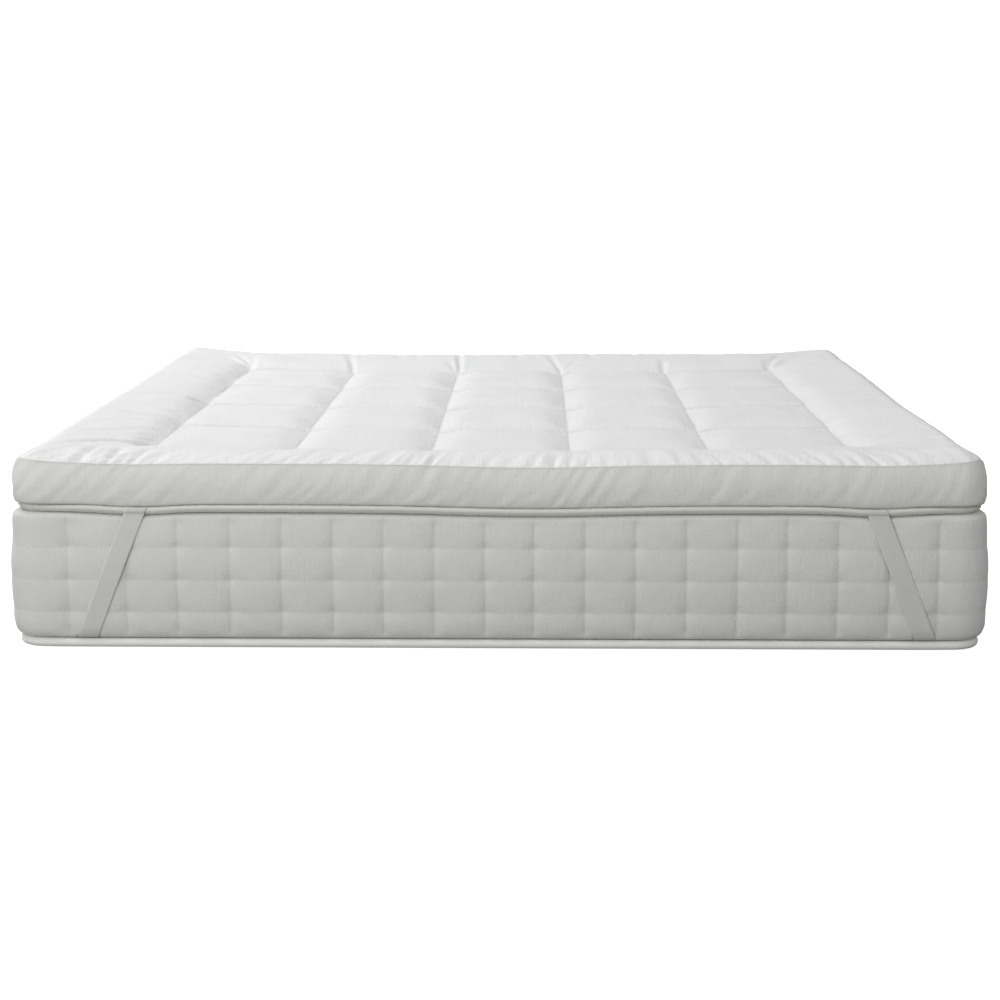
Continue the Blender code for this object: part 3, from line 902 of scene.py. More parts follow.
class EdgeGather(NamedTuple):
    """A gather that the edge seam holds: where, how far it leans as it runs inwards, and its size."""

    place: float
    lean: float
    depth: float
    width: float
    reach: float

    @classmethod
    def from_row(cls, place: int, lean: int, depth: int, width: int, reach: int) -> "EdgeGather":
        """A gather from a row of whole numbers.

        Args:
            place: Where it is, in millimetres from the middle of the side.
            lean: Its lean, in hundredths.
            depth: Its depth, in tenths of a millimetre.
            width: Its width, in tenths of a millimetre.
            reach: How far in it runs, in millimetres.

        Returns:
            The gather.
        """
        return cls(place / 1000, lean / 100, depth / 10000, width / 10000, reach / 1000)


class Side(Enum):
    """The four sides of the bed."""

    FOOT = "foot"
    RIGHT = "right"
    HEAD = "head"
    LEFT = "left"


FOOT_GATHERS = tuple(EdgeGather.from_row(*row) for row in (
    (-853, 10, 12, 50, 22), (-838, 12, 16, 50, 28), (-822, 16, 18, 60, 32), (-806, 20, 18, 60, 36),
    (-788, 22, 18, 60, 36), (-742, 40, 30, 80, 60), (-695, 50, 24, 80, 60), (-652, 60, 26, 80, 60),
    (-586, 80, 12, 100, 80), (-546, 95, 18, 120, 120), (-492, 80, 13, 110, 100), (-434, 70, 24, 85, 80),
    (-392, 60, 12, 80, 50), (-324, 70, 28, 80, 80), (-283, 50, 13, 80, 60), (-209, 60, 22, 120, 115),
    (-165, 40, 12, 70, 40), (-125, 28, 46, 80, 75), (-88, 30, 14, 80, 60), (-50, 30, 18, 70, 50),
    (-22, 30, 46, 80, 70), (19, 35, 30, 85, 90), (60, 40, 42, 90, 105), (102, 18, 46, 80, 100),
    (132, 10, 14, 70, 50), (162, 15, 46, 70, 60), (207, -10, 26, 90, 85), (248, -10, 16, 100, 80),
    (310, -15, 11, 110, 80), (379, -28, 20, 100, 100), (415, -30, 26, 80, 70), (464, -45, 30, 85, 90),
    (506, -45, 30, 85, 95), (551, -50, 30, 90, 95), (580, -60, 18, 80, 80), (607, -65, 36, 90, 105),
    (640, -50, 36, 80, 80), (666, -55, 34, 90, 90), (705, -70, 36, 90, 110), (742, -50, 34, 85, 85),
    (771, -50, 26, 80, 75), (800, -25, 16, 60, 40), (820, -20, 16, 55, 32), (838, -15, 14, 50, 26),
    (852, -10, 12, 50, 22),
))

TOP_CREASES = tuple(Crease.from_row(*row) for row in (
    # The long fold of the front left corner, from the nearest crossing, and the folds that end under it
    (82, 110, 80, 15, -695, -690, -705, -700, -721, -719, -738, -731, -764, -748, -788, -774, -806,
     -809, -821, -854, -831, -897),
    (40, 100, 0, 0, -817, -932, -804, -892, -788, -861, -773, -833),
    (72, 105, 80, 0, -776, -986, -770, -959, -761, -928, -757, -857, -753, -805),
    (58, 100, 80, 0, -719, -986, -713, -951, -707, -915, -704, -830),
    (56, 95, 80, 0, -674, -986, -668, -963, -657, -930, -643, -880),
    (36, 90, 80, 0, -630, -986, -624, -967, -612, -930),
    # Wrinkles across the left border
    (60, 105, 90, 35, -687, 2, -706, -12, -729, -36, -763, -38, -796, -47, -828, -80),
    (66, 105, 90, 35, -690, -343, -703, -345, -720, -348, -746, -347, -771, -346, -801, -357),
    (30, 85, 90, 0, -692, -378, -711, -384, -743, -393, -780, -403),
    (46, 95, 90, 30, -689, -422, -712, -432, -745, -445, -783, -467, -820, -512),
    (32, 85, 90, 0, -692, -464, -712, -474, -743, -496, -777, -524),
    (48, 100, 90, 30, -691, -506, -714, -524, -742, -555, -776, -603, -816, -651),
    (26, 85, 90, 0, -692, -545, -712, -562, -740, -596, -772, -638),
    (40, 90, 90, 0, -692, -582, -710, -597, -737, -633, -771, -675),
    (34, 85, 80, 0, -695, -628, -713, -658, -736, -691),
    (18, 110, 70, 0, -690, -230, -720, -246, -765, -270),
    (16, 110, 70, 0, -690, -120, -725, -140, -780, -180),
    (16, 120, 60, 0, -690, 250, -740, 252, -800, 230),
    # Wrinkles across the right border
    (26, 85, 10, 30, 727, -289, 764, -324, 802, -353, 839, -384, 868, -402),
    (22, 80, 0, 30, 760, -660, 790, -671, 825, -689, 866, -699),
    (16, 70, 0, 40, 790, -165, 810, -172, 832, -171, 868, -173),
    (12, 60, 0, 40, 800, -120, 830, -118, 868, -110),
    (12, 60, 0, 40, 800, -72, 832, -66, 868, -60),
    (16, 65, 0, 40, 816, -574, 849, -617, 878, -640),
    (14, 60, 0, 40, 816, -530, 848, -562, 878, -585),
    (14, 90, 40, 0, 679, 14, 719, 55, 754, 61, 796, 30, 833, -23),
    # Grooves across the border at the head
    (46, 110, 70, 30, -416, 739, -424, 807, -436, 886, -442, 960),
    (22, 80, 60, 20, -150, 753, -160, 815, -178, 879),
    (44, 90, 70, 40, -131, 745, -134, 818, -138, 898, -138, 960),
    (42, 100, 70, 30, 136, 743, 124, 808, 113, 881, 106, 950),
    (24, 80, 60, 20, 148, 760, 170, 808, 190, 869),
    (30, 110, 70, 0, 408, 735, 410, 811, 420, 890),
    (24, 130, 0, 80, -290, 850, -300, 905, -306, 960),
    (20, 100, 0, 80, -250, 870, -256, 960),
    (20, 120, 0, 80, 20, 850, 22, 905, 18, 960),
    (22, 120, 0, 80, 220, 860, 222, 960),
    # Folds that fan out from the far crossings
    (52, 110, 80, 0, -686, 733, -711, 800, -738, 855, -770, 891),
    (40, 120, 80, 0, -692, 728, -734, 771, -774, 803, -819, 799),
    (30, 100, 70, 0, -680, 740, -690, 800, -712, 880),
    (50, 110, 80, 0, 686, 738, 704, 819, 732, 876, 776, 905),
    (44, 120, 70, 0, 692, 730, 724, 760, 763, 795, 815, 787),
    (26, 90, 70, 0, 678, 740, 684, 800, 700, 880),
))


class Level(NamedTuple):
    """One level of a wall: how far it stands out from the outline, and its height."""

    out: float
    height: float


@dataclass(frozen=True)
class TopperPad:
    """The filled pad: a quilted top inside a plain border, a bulging wall and a drawn-in waist."""

    bed: Bed
    finish: Finish
    node: str = "topper_pad"
    slot: str = "topper_cloth"
    columns: int = 5
    rows: int = 4
    side_border: float = 0.213
    end_border: float = 0.275
    edge_seam: float = 0.3460
    edge_inset: float = 0.0075
    crossings: tuple[float, ...] = (0.3275, 0.3168, 0.3142, 0.3145, 0.3184, 0.3260)
    row_rise: float = 0.0038
    column_rise: float = 0.0016
    crown: float = 0.3338
    crown_unevenness: float = 0.0010
    flank_across: tuple[float, float, float] = (0.022, 0.070, 0.10)
    flank_along: tuple[float, float, float] = (0.018, 0.066, 0.20)
    crest_reach: tuple[float, float, float] = (0.100, 0.050, 0.036)
    crest_fall: tuple[float, float, float] = (0.018, 0.056, 0.45)
    crest_foot: tuple[float, ...] = (0.0205, 0.0208, 0.0212, 0.0216, 0.0226, 0.0218, 0.0212)
    crest_head: tuple[float, ...] = (0.0155, 0.0115, 0.0105, 0.0138, 0.0112, 0.0115, 0.0155)
    crest_left: tuple[float, ...] = (0.0212, 0.0218, 0.0224, 0.0248, 0.0268, 0.0272, 0.0250)
    crest_right: tuple[float, ...] = (0.0262, 0.0222, 0.0186, 0.0170, 0.0178, 0.0194, 0.0206)
    corner_fullness: float = 0.0045
    corner_fullness_reach: float = 0.110
    head_sag: float = 0.0060
    corner_lift: float = 0.0070
    corner_lift_reach: float = 0.090
    dimple_depth: float = 0.0022
    dimple_reach: float = 0.030
    swell_rise: float = 0.0052
    dip_reach_top: float = 0.140
    waist: float = 0.2640
    wall: tuple[Level, ...] = (
        Level(-0.0075, 0.3460), Level(-0.0035, 0.3380), Level(0.0010, 0.3220), Level(0.0028, 0.3050),
        Level(0.0022, 0.2920), Level(0.0012, 0.2825), Level(0.0001, 0.2766), Level(-0.0008, 0.2730),
        Level(-0.0019, 0.2708),
    )
    underside: tuple[Level, ...] = (Level(-0.0120, 0.2700), Level(-0.0150, 0.2556), Level(-0.0500, 0.2556))
    wall_pucker_top: float = 0.0024
    wall_pucker_low: float = 0.0018
    wall_swell: float = 0.0022
    corner_bulge: float = 0.0026
    wall_runs: tuple[float, ...] = (0.0018, 0.0045, 0.0085, 0.0140, 0.0205, 0.0275, 0.0345, 0.0415, 0.0480,
                                    0.0540, 0.0595, 0.0640, 0.0680, 0.0715, 0.0750, 0.0790)
    cell_gaps_x: int = 48
    cell_gaps_y: int = 38
    border_gaps_x: int = 37
    foot_gaps: int = 60
    head_gaps: int = 34
    column_pinch: float = 0.0003
    row_pinch: float = 0.0014
    seam_pinch_width: float = 0.0035
    edge_pinch: float = 0.0016
    lean_centre: float = 0.17
    lean_rate: float = 0.80
    gather_pitch: float = 0.0130
    gather_depth: float = 0.0040
    swell_pitch: float = 0.0270
    swell_depth: float = 0.0036
    pucker_depth: float = 0.0016
    puckers_beside_columns: tuple[float, float, float] = (0.038, 0.030, 0.45)
    puckers_beside_rows: tuple[float, float, float] = (0.024, 0.022, 0.0)
    wrinkle_strength: tuple[float, float] = (2.0, 1.5)
    wrinkle_depth: float = 0.0012
    fold_depth: float = 0.0009
    fold_reach: float = 0.030
    lump_depth: float = 0.0016
    small_lump_depth: float = 0.0006

    @property
    def cell_width(self) -> float:
        """Width of one quilted cell."""
        return 2 * (self.bed.half_width - self.side_border) / self.columns

    @property
    def cell_length(self) -> float:
        """Length of one quilted cell."""
        return 2 * (self.bed.half_length - self.end_border) / self.rows

    @property
    def seam_lines(self) -> tuple[Array, Array]:
        """Where the quilting seams run, across and along the bed."""
        inner_x = self.bed.half_width - self.side_border
        inner_y = self.bed.half_length - self.end_border
        return np.linspace(-inner_x, inner_x, self.columns + 1), np.linspace(-inner_y, inner_y, self.rows + 1)

    def crossing_height(self, column: Array, row: Array) -> Array:
        """Height where two seams cross. It is greater toward the sides."""
        return np.array(self.crossings)[column.astype(int)] + 0.0006 * np.sin(2.7 * row + 1.9 * column)

    def flank(self, gap: Array, half: float, shape: tuple[float, float, float]) -> Array:
        """How high a cell stands, from 0 at its seam to 1 in its middle.

        Args:
            gap: Distance from the seam.
            half: Half of the cell's size.
            shape: Where the straight part of the flank ends, where the flank ends, and the dome's share.

        Returns:
            The share of the cell's height.
        """
        straight, end, dome = shape
        eased = np.clip((end - gap) / (end - straight), 0.0, 1.0)
        fall = eased * eased * (end - straight) / 2 + np.maximum(straight - gap, 0.0)
        whole = (end - straight) / 2 + straight
        return 1 - dome * np.clip(1 - gap / half, 0.0, 1.0) ** 2 - (1 - dome) * fall / whole

    def cell_height(self, x: Array, y: Array) -> Array:
        """Height of the quilted cells, without their small relief.

        Args:
            x: Places across the bed.
            y: Places along it.

        Returns:
            The height there.
        """
        across = (x + self.bed.half_width - self.side_border) / self.cell_width
        along = (y + self.bed.half_length - self.end_border) / self.cell_length
        column = np.clip(np.floor(across), 0, self.columns - 1)
        row = np.clip(np.floor(along), 0, self.rows - 1)
        share_x = across - column
        share_y = along - row
        near, far = (self.crossing_height(column, line) * (1 - share_x)
                     + self.crossing_height(column + 1, line) * share_x for line in (row, row + 1))
        seams = near * (1 - share_y) + far * share_y
        u, v = (np.clip(np.abs(2 * share - 1), 0.0, 1.0) for share in (share_x, share_y))
        open_u = 1 - u**5
        open_v = 1 - v**5
        rise = self.row_rise * open_u + self.column_rise * open_v * (1 - open_u)
        crown = self.crown + self.crown_unevenness * np.sin(2.1 * column + 1.3 * row)
        pillow = (self.flank((1 - u) * self.cell_width / 2, self.cell_width / 2, self.flank_across)
                  * self.flank((1 - v) * self.cell_length / 2, self.cell_length / 2, self.flank_along))
        return seams + rise + (crown - seams - self.row_rise) * pillow

    def lift(self, x: Array, y: Array) -> Array:
        """How far the edge seam rises toward the corners, and sags along the head."""
        sag = smooth_step((y - 0.55) / 0.40) * smooth_step((0.86 - np.abs(x)) / 0.16)
        rise = np.where(y < 0, 1.0, 0.3) * self.corner_lift * self.bed.cornering(x, y, self.corner_lift_reach)
        return rise - self.head_sag * sag

    def crest(self, x: Array, y: Array, from_edge: Array) -> Array:
        """How high the border's crest stands, from the heights along the four sides.

        Args:
            x: Places across the bed.
            y: Places along it.
            from_edge: How far in from the edge seam they lie.

        Returns:
            The crest's height there, before it falls to the inner seam.
        """
        half_x = self.bed.half_width
        half_y = self.bed.half_length
        marks_x = np.linspace(-half_x, half_x, len(self.crest_foot))
        marks_y = np.linspace(-half_y, half_y, len(self.crest_left))
        foot_crest = np.interp(x, marks_x, self.crest_foot)
        head_crest = np.interp(x, marks_x, self.crest_head)
        left_crest = np.interp(y, marks_y, self.crest_left)
        right_crest = np.interp(y, marks_y, self.crest_right)
        on_end = np.where(y < 0, foot_crest, head_crest)
        on_side = np.where(x < 0, left_crest, right_crest)
        pull_end = 1 / (np.abs(half_y - np.abs(y)) + 0.02) ** 2
        pull_side = 1 / (np.abs(half_x - np.abs(x)) + 0.02) ** 2
        share = pull_end / (pull_end + pull_side)
        full = np.where(y < 0, self.corner_fullness, 0.0) * self.bed.cornering(
            x, y, self.corner_fullness_reach)
        foot, head, side = self.crest_reach
        reach = np.where(y < 0, foot, head) * share + side * (1 - share)
        swell = np.sin(math.pi / 2 * np.clip(from_edge / reach, 0.0, 1.0))
        return (on_end * share + on_side * (1 - share) + full) * swell

    def border_height(self, x: Array, y: Array) -> Array:
        """Height of the border, from the edge seam over its crest down to its inner seam.

        Args:
            x: Places across the bed.
            y: Places along it.

        Returns:
            The height there.
        """
        inside_x = self.bed.half_width - self.side_border
        inside_y = self.bed.half_length - self.end_border
        from_edge = np.maximum(self.bed.from_edge(x, y) - self.edge_inset, 0.0)
        from_seam = np.hypot(np.maximum(np.abs(x) - inside_x, 0.0), np.maximum(np.abs(y) - inside_y, 0.0))
        share = from_edge / np.maximum(from_edge + from_seam, 1e-9)
        seam = self.cell_height(np.clip(x, -inside_x, inside_x), np.clip(y, -inside_y, inside_y))
        edge = self.edge_seam + self.lift(x, y)
        fall = self.flank(from_seam, self.side_border, self.crest_fall)
        return edge * (1 - share) + seam * share + self.crest(x, y, from_edge) * fall

    def dimple(self, x: Array, y: Array) -> Array:
        """The hollow round each crossing on the border's seam.

        Args:
            x: Places across the bed.
            y: Places along it.

        Returns:
            Its depth there.
        """
        lines_x, lines_y = self.seam_lines
        near_x = np.clip(np.round((x - lines_x[0]) / self.cell_width), 0, self.columns)
        near_y = np.clip(np.round((y - lines_y[0]) / self.cell_length), 0, self.rows)
        gap_x = x - (lines_x[0] + near_x * self.cell_width)
        gap_y = y - (lines_y[0] + near_y * self.cell_length)
        away = np.hypot(gap_x, gap_y) / self.dimple_reach
        return self.dimple_depth * np.exp(-away * away)

    def top_dip(self, x: Array, y: Array) -> Array:
        """How far the top is drawn down at its edge. The straps hardly reach it."""
        return self.bed.edge_dip(x, y, self.dip_reach_top, 0.35)

    def in_cells(self, x: Array, y: Array) -> Array:
        """Whether points lie in the quilted field."""
        inside_x = self.bed.half_width - self.side_border + 1e-6
        inside_y = self.bed.half_length - self.end_border + 1e-6
        return (np.abs(x) <= inside_x) & (np.abs(y) <= inside_y)

    def seam_gap(self, x: Array, y: Array) -> tuple[Array, Array]:
        """Distance from the nearest seam that runs along the bed, and from the nearest across it.

        Args:
            x: Places across the bed.
            y: Places along it.

        Returns:
            The two distances.
        """
        lines_x, lines_y = self.seam_lines
        beyond_x = np.maximum(np.abs(x) - lines_x[-1], 0.0)
        beyond_y = np.maximum(np.abs(y) - lines_y[-1], 0.0)
        gap_x = np.min(np.abs(x[..., None] - lines_x), axis=-1)
        gap_y = np.min(np.abs(y[..., None] - lines_y), axis=-1)
        return np.hypot(gap_x, beyond_y), np.hypot(gap_y, beyond_x)

    def crease_height(self, x: Array, y: Array, crease: Crease) -> Array:
        """The relief of one crease.

        Args:
            x: Places across the bed.
            y: Places along it.
            crease: The crease.

        Returns:
            Its height at those places, negative in the trough.
        """
        height = np.zeros(x.shape)
        path = curve_through(crease.path, 6)
        reach = 4.0 * crease.width
        low = path.min(axis=0) - reach
        high = path.max(axis=0) + reach
        near = (x > low[0]) & (x < high[0]) & (y > low[1]) & (y < high[1])
        if not near.any():
            return height
        spots = np.stack([x[near], y[near]], axis=-1)
        best = np.full(len(spots), 1e9)
        travel = np.zeros(len(spots))
        for index, (start, end) in enumerate(zip(path, path[1:])):
            run = end - start
            share = np.clip((spots - start) @ run / (run @ run), 0.0, 1.0)
            away = np.linalg.norm(spots - start - share[:, None] * run, axis=-1)
            closer = away < best
            best = np.where(closer, away, best)
            travel = np.where(closer, (index + share) / (len(path) - 1), travel)
        opening = crease.start + (1 - crease.start) * smooth_step(travel / 0.30)
        closing = crease.end + (1 - crease.end) * smooth_step((1 - travel) / 0.55)
        span = (best / (crease.width * (0.75 + 0.5 * travel))) ** 2
        height[near] = -crease.depth * opening * closing * furrow(span)
        return height

    def gather_table(self) -> dict[Side, list[EdgeGather]]:
        """The gathers along each side: those of the foot listed one by one, the others as uneven as they are.

        Returns:
            The gathers of each side.
        """
        table = {Side.FOOT: list(FOOT_GATHERS)}
        random = np.random.default_rng(41)
        for side in (Side.RIGHT, Side.HEAD, Side.LEFT):
            half = self.bed.half_width if side is Side.HEAD else self.bed.half_length
            gathers = []
            place = -half + 0.060
            while place < half - 0.050:
                strength = random.uniform(0.2, 1.0) ** 1.6
                lean = -0.7 * place / half + random.uniform(-0.15, 0.15)
                near_corner = half - abs(place) < 0.110
                reach = random.uniform(0.022, 0.040) if near_corner else random.uniform(0.050, 0.120)
                depth = 0.0015 if near_corner else 0.0010 + 0.0034 * strength
                width = 0.0055 if near_corner else random.uniform(0.0075, 0.0120)
                gathers.append(EdgeGather(place, lean, depth, width, reach))
                place += random.uniform(0.014, 0.020) if near_corner else random.uniform(0.028, 0.068)
            table[side] = gathers
        return table

    def edge_frame(self, side: Side, x: Array, y: Array) -> tuple[Array, Array]:
        """Where points lie along one side, and how far in from its edge seam.

        Args:
            side: The side.
            x: Places across the bed.
            y: Places along it.

        Returns:
            The places along the side, and the distances in.
        """
        half_x = self.bed.half_width - self.edge_inset
        half_y = self.bed.half_length - self.edge_inset
        if side is Side.FOOT:
            return x, y + half_y
        if side is Side.HEAD:
            return x, half_y - y
        if side is Side.RIGHT:
            return y, half_x - x
        return y, half_x + x

    def gather_height(self, x: Array, y: Array) -> Array:
        """The relief of all gathers of the edge seam, on the top.

        Args:
            x: Places across the bed.
            y: Places along it.

        Returns:
            The relief there.
        """
        total = np.zeros(x.shape)
        for side, gathers in self.gather_table().items():
            place, inward = self.edge_frame(side, x, y)
            near = inward < 0.135
            here = place[near]
            depth_in = inward[near]
            relief = np.zeros(here.shape)
            for gather in gathers:
                share = depth_in / gather.reach
                line = gather.place + gather.lean * depth_in * (0.55 + 0.45 * np.minimum(share, 1.5))
                span = ((here - line) / (gather.width * (0.70 + 0.55 * share))) ** 2
                relief -= gather.depth * smooth_step(1 - share) * smooth_step(depth_in / 0.007) * furrow(span)
            calm = {Side.FOOT: 1.0, Side.HEAD: 0.35}.get(side, 0.6)
            total[near] += calm * (relief + self.fine_gathers(side, here, depth_in))
        return total

    def fine_gathers(self, side: Side, place: Array, inward: Array) -> Array:
        """The small, uneven gathers between the main ones, leaning away from the middle of the side.

        Args:
            side: The side.
            place: Places along the side.
            inward: How far in from its edge seam they lie.

        Returns:
            The relief there.
        """
        half = self.bed.half_width if side in (Side.FOOT, Side.HEAD) else self.bed.half_length
        centre = self.lean_centre if side is Side.FOOT else 0.0
        lean = -self.lean_rate * (place - centre) / half
        seed = {Side.FOOT: 51, Side.RIGHT: 52, Side.HEAD: 53, Side.LEFT: 54}[side]
        line = place - lean * inward * (1 + 2.5 * inward) + 3.0
        strength = 0.65 + 0.55 * Unevenness(seed + 30, 0.210).along(place + 3.0)
        near = Unevenness(seed, self.gather_pitch).puffs(line) * np.exp(-((inward / 0.050) ** 2))
        far = Unevenness(seed + 10, self.swell_pitch).puffs(line) * smooth_step(inward / 0.030)
        fade = smooth_step(inward / 0.008) * smooth_step((0.130 - inward) / 0.075)
        return strength * fade * (self.gather_depth * near + self.swell_depth * far)

    def seam_puckers(self, x: Array, y: Array) -> Array:
        """Small uneven puckers that the quilting stitches draw, beside every seam.

        Args:
            x: Places across the bed.
            y: Places along it.

        Returns:
            The relief there.
        """
        lines_x, lines_y = self.seam_lines
        gap_x, gap_y = self.seam_gap(x, y)
        height = np.zeros(x.shape)
        reach = Unevenness(5, 0.090)
        rows = (
            (x, y, gap_x, lines_x, self.puckers_beside_columns, 100, 1),
            (y, x, gap_y, lines_y, self.puckers_beside_rows, 300, 7),
        )
        for across, along, gap, lines, (pitch, fade, lean), seed, shift in rows:
            nearest = np.argmin(np.abs(across[..., None] - lines), axis=-1)
            beyond = across > lines[nearest]
            for index in range(len(lines)):
                for side in (0, 1):
                    part = (nearest == index) & (beyond == bool(side)) & (gap < 0.09)
                    puffs = Unevenness(seed + 100 * side + index, pitch)
                    share = gap[part] / (fade * (1.25 + 0.6 * reach.along(along[part] + shift * index)))
                    line = along[part] + lean * (2 * side - 1) * gap[part]
                    height[part] += self.pucker_depth * np.exp(-share) * puffs.puffs(line)
        return height

    def border_wrinkles(self, x: Array, y: Array) -> Array:
        """Fine curved wrinkles across the side borders, thickest near the inner seam.

        Args:
            x: Places across the bed.
            y: Places along it.

        Returns:
            The relief there.
        """
        inside_x = self.bed.half_width - self.side_border
        out = (np.abs(x) - inside_x) / (self.side_border - self.edge_inset)
        height = np.zeros(x.shape)
        for side, strength in enumerate(self.wrinkle_strength):
            near = (out > 0.0) & (out < 1.0) & ((x < 0.0) == (side == 0))
            share = out[near]
            bend = 0.110 * share * (1.7 - share) if side == 0 else 0.070 * share * share
            line = y[near] - bend + 5.0
            fine = Unevenness(141 + side, 0.0320).puffs(line)
            broad = Unevenness(151 + side, 0.0680).puffs(line + 0.4 * share * 0.034)
            patch = Unevenness(161 + side, 0.230).over(line, share * 0.12 + 1.0)
            amount = np.clip(0.55 + 0.75 * patch, 0.0, 1.3)
            fade = smooth_step(share / 0.12) * smooth_step((0.80 - share) / 0.45)
            thickest = 1.0 + np.exp(-(((line - 4.55) / 0.24) ** 2))
            height[near] = strength * thickest * amount * fade * self.wrinkle_depth * (fine + broad)
        return height

    def crossing_folds(self, x: Array, y: Array) -> Array:
        """Short folds that fan out from every crossing of two seams.

        Args:
            x: Places across the bed.
            y: Places along it.

        Returns:
            The relief there.
        """
        lines_x, lines_y = self.seam_lines
        in_cells = self.in_cells(x, y)
        height = np.zeros(x.shape)
        random = np.random.default_rng(17)
        for row, line_y in enumerate(lines_y):
            for column, line_x in enumerate(lines_x):
                away_x = x - line_x
                away_y = y - line_y
                away = np.hypot(away_x, away_y)
                near = away < 0.10
                angle = np.arctan2(away_y[near], away_x[near])
                count = random.integers(5, 8)
                phase = random.uniform(0, 2 * math.pi)
                twist = random.uniform(-0.6, 0.6)
                wave = np.sin(count * angle + phase + twist * np.sin(angle * 2 + phase))
                ring = away[near] / self.fold_reach
                height[near] += self.fold_depth * wave * ring * np.exp(-ring * 1.1)
                behind = away_y / 0.070
                beside = np.abs(away_x)
                swell = behind * np.exp(1 - np.abs(behind)) * np.exp(-beside / 0.055)
                swell *= 0.25 + 0.75 * smooth_step(beside / 0.038)
                height += np.where(in_cells, self.swell_rise * swell, 0.0)
        return height

    def soft_unevenness(self, x: Array, y: Array) -> Array:
        """The lumps of the filling under the cloth, faint by the seams.

        Args:
            x: Places across the bed.
            y: Places along it.

        Returns:
            The relief there.
        """
        gap_x, gap_y = self.seam_gap(x, y)
        from_edge = self.bed.from_edge(x, y) - self.edge_inset
        free = smooth_step(np.minimum(np.minimum(gap_x, gap_y), from_edge) / 0.050)
        large = Unevenness(61, 0.085).over(x + 3.0, y + 3.0)
        small = Unevenness(62, 0.038).over(x * 0.9 + y * 0.3 + 3.0, y * 0.9 - x * 0.3 + 3.0)
        return free * (self.lump_depth * large + self.small_lump_depth * small)

    def height(self, x: Array, y: Array) -> Array:
        """Height of the top of the pad with all its relief.

        Args:
            x: Places across the bed.
            y: Places along it.

        Returns:
            The height there.
        """
        cells = self.in_cells(x, y)
        border = self.border_height(x, y) - self.dimple(x, y) - self.top_dip(x, y)
        base = np.where(cells, self.cell_height(x, y), border)
        gap_x, gap_y = self.seam_gap(x, y)
        pinch = (self.column_pinch * np.exp(-((gap_x / self.seam_pinch_width) ** 1.3))
                 + self.row_pinch * np.exp(-((gap_y / self.seam_pinch_width) ** 1.3)))
        relief = self.soft_unevenness(x, y) + self.seam_puckers(x, y) + self.crossing_folds(x, y)
        relief += self.border_wrinkles(x, y)
        for crease in TOP_CREASES:
            relief += self.crease_height(x, y, crease)
        hold = smooth_step((self.bed.from_edge(x, y) - self.edge_inset) / 0.006)
        return base + (relief + self.gather_height(x, y) - pinch) * hold

    def round_corner(self, x: Array, y: Array) -> tuple[Array, Array]:
        """Moves points of the square grid so that its corners follow the arc of the edge seam.

        Args:
            x: Places across the bed.
            y: Places along it.

        Returns:
            The moved places.
        """
        radius = self.bed.corner - self.edge_inset
        centre_x = self.bed.half_width - self.bed.corner
        centre_y = self.bed.half_length - self.bed.corner
        across = np.abs(x) - centre_x
        along = np.abs(y) - centre_y
        corner = (across > 0.0) & (along > 0.0)
        share_x = np.where(corner, across / radius, 0.0)
        share_y = np.where(corner, along / radius, 0.0)
        new_x = centre_x + across * np.sqrt(1 - share_y**2 / 2)
        new_y = centre_y + along * np.sqrt(1 - share_x**2 / 2)
        return (np.where(corner, np.sign(x) * new_x, x), np.where(corner, np.sign(y) * new_y, y))

    def grid_lines(self) -> tuple[Array, Array]:
        """The lines of the top's grid, close together at the seams and the edges.

        Returns:
            The lines across and along the bed.
        """
        lines_x, lines_y = self.seam_lines
        edge_x = self.bed.half_width - self.edge_inset
        edge_y = self.bed.half_length - self.edge_inset
        across = eased_lines(-edge_x, lines_x[0], self.border_gaps_x, 0.40)
        for start, end in zip(lines_x, lines_x[1:]):
            across += eased_lines(start, end, self.cell_gaps_x, 0.50)
        across += eased_lines(lines_x[-1], edge_x, self.border_gaps_x, 0.40) + [edge_x]
        along = eased_lines(-edge_y, lines_y[0], self.foot_gaps, 0.30)
        for start, end in zip(lines_y, lines_y[1:]):
            along += eased_lines(start, end, self.cell_gaps_y, 0.62)
        along += eased_lines(lines_y[-1], edge_y, self.head_gaps, 0.62) + [edge_y]
        return np.array(across), np.array(along)

    def wall_profile(self) -> tuple[Array, Array]:
        """How far out and how high the wall's levels lie, from the edge seam down to the roll."""
        curve = curve_through(np.array(self.wall), 12)
        run = np.concatenate([[0.0], np.cumsum(np.linalg.norm(np.diff(curve, axis=0), axis=1))])
        wanted = np.array(self.wall_runs) / self.wall_runs[-1] * run[-1]
        return np.interp(wanted, run, curve[:, 0]), np.interp(wanted, run, curve[:, 1])

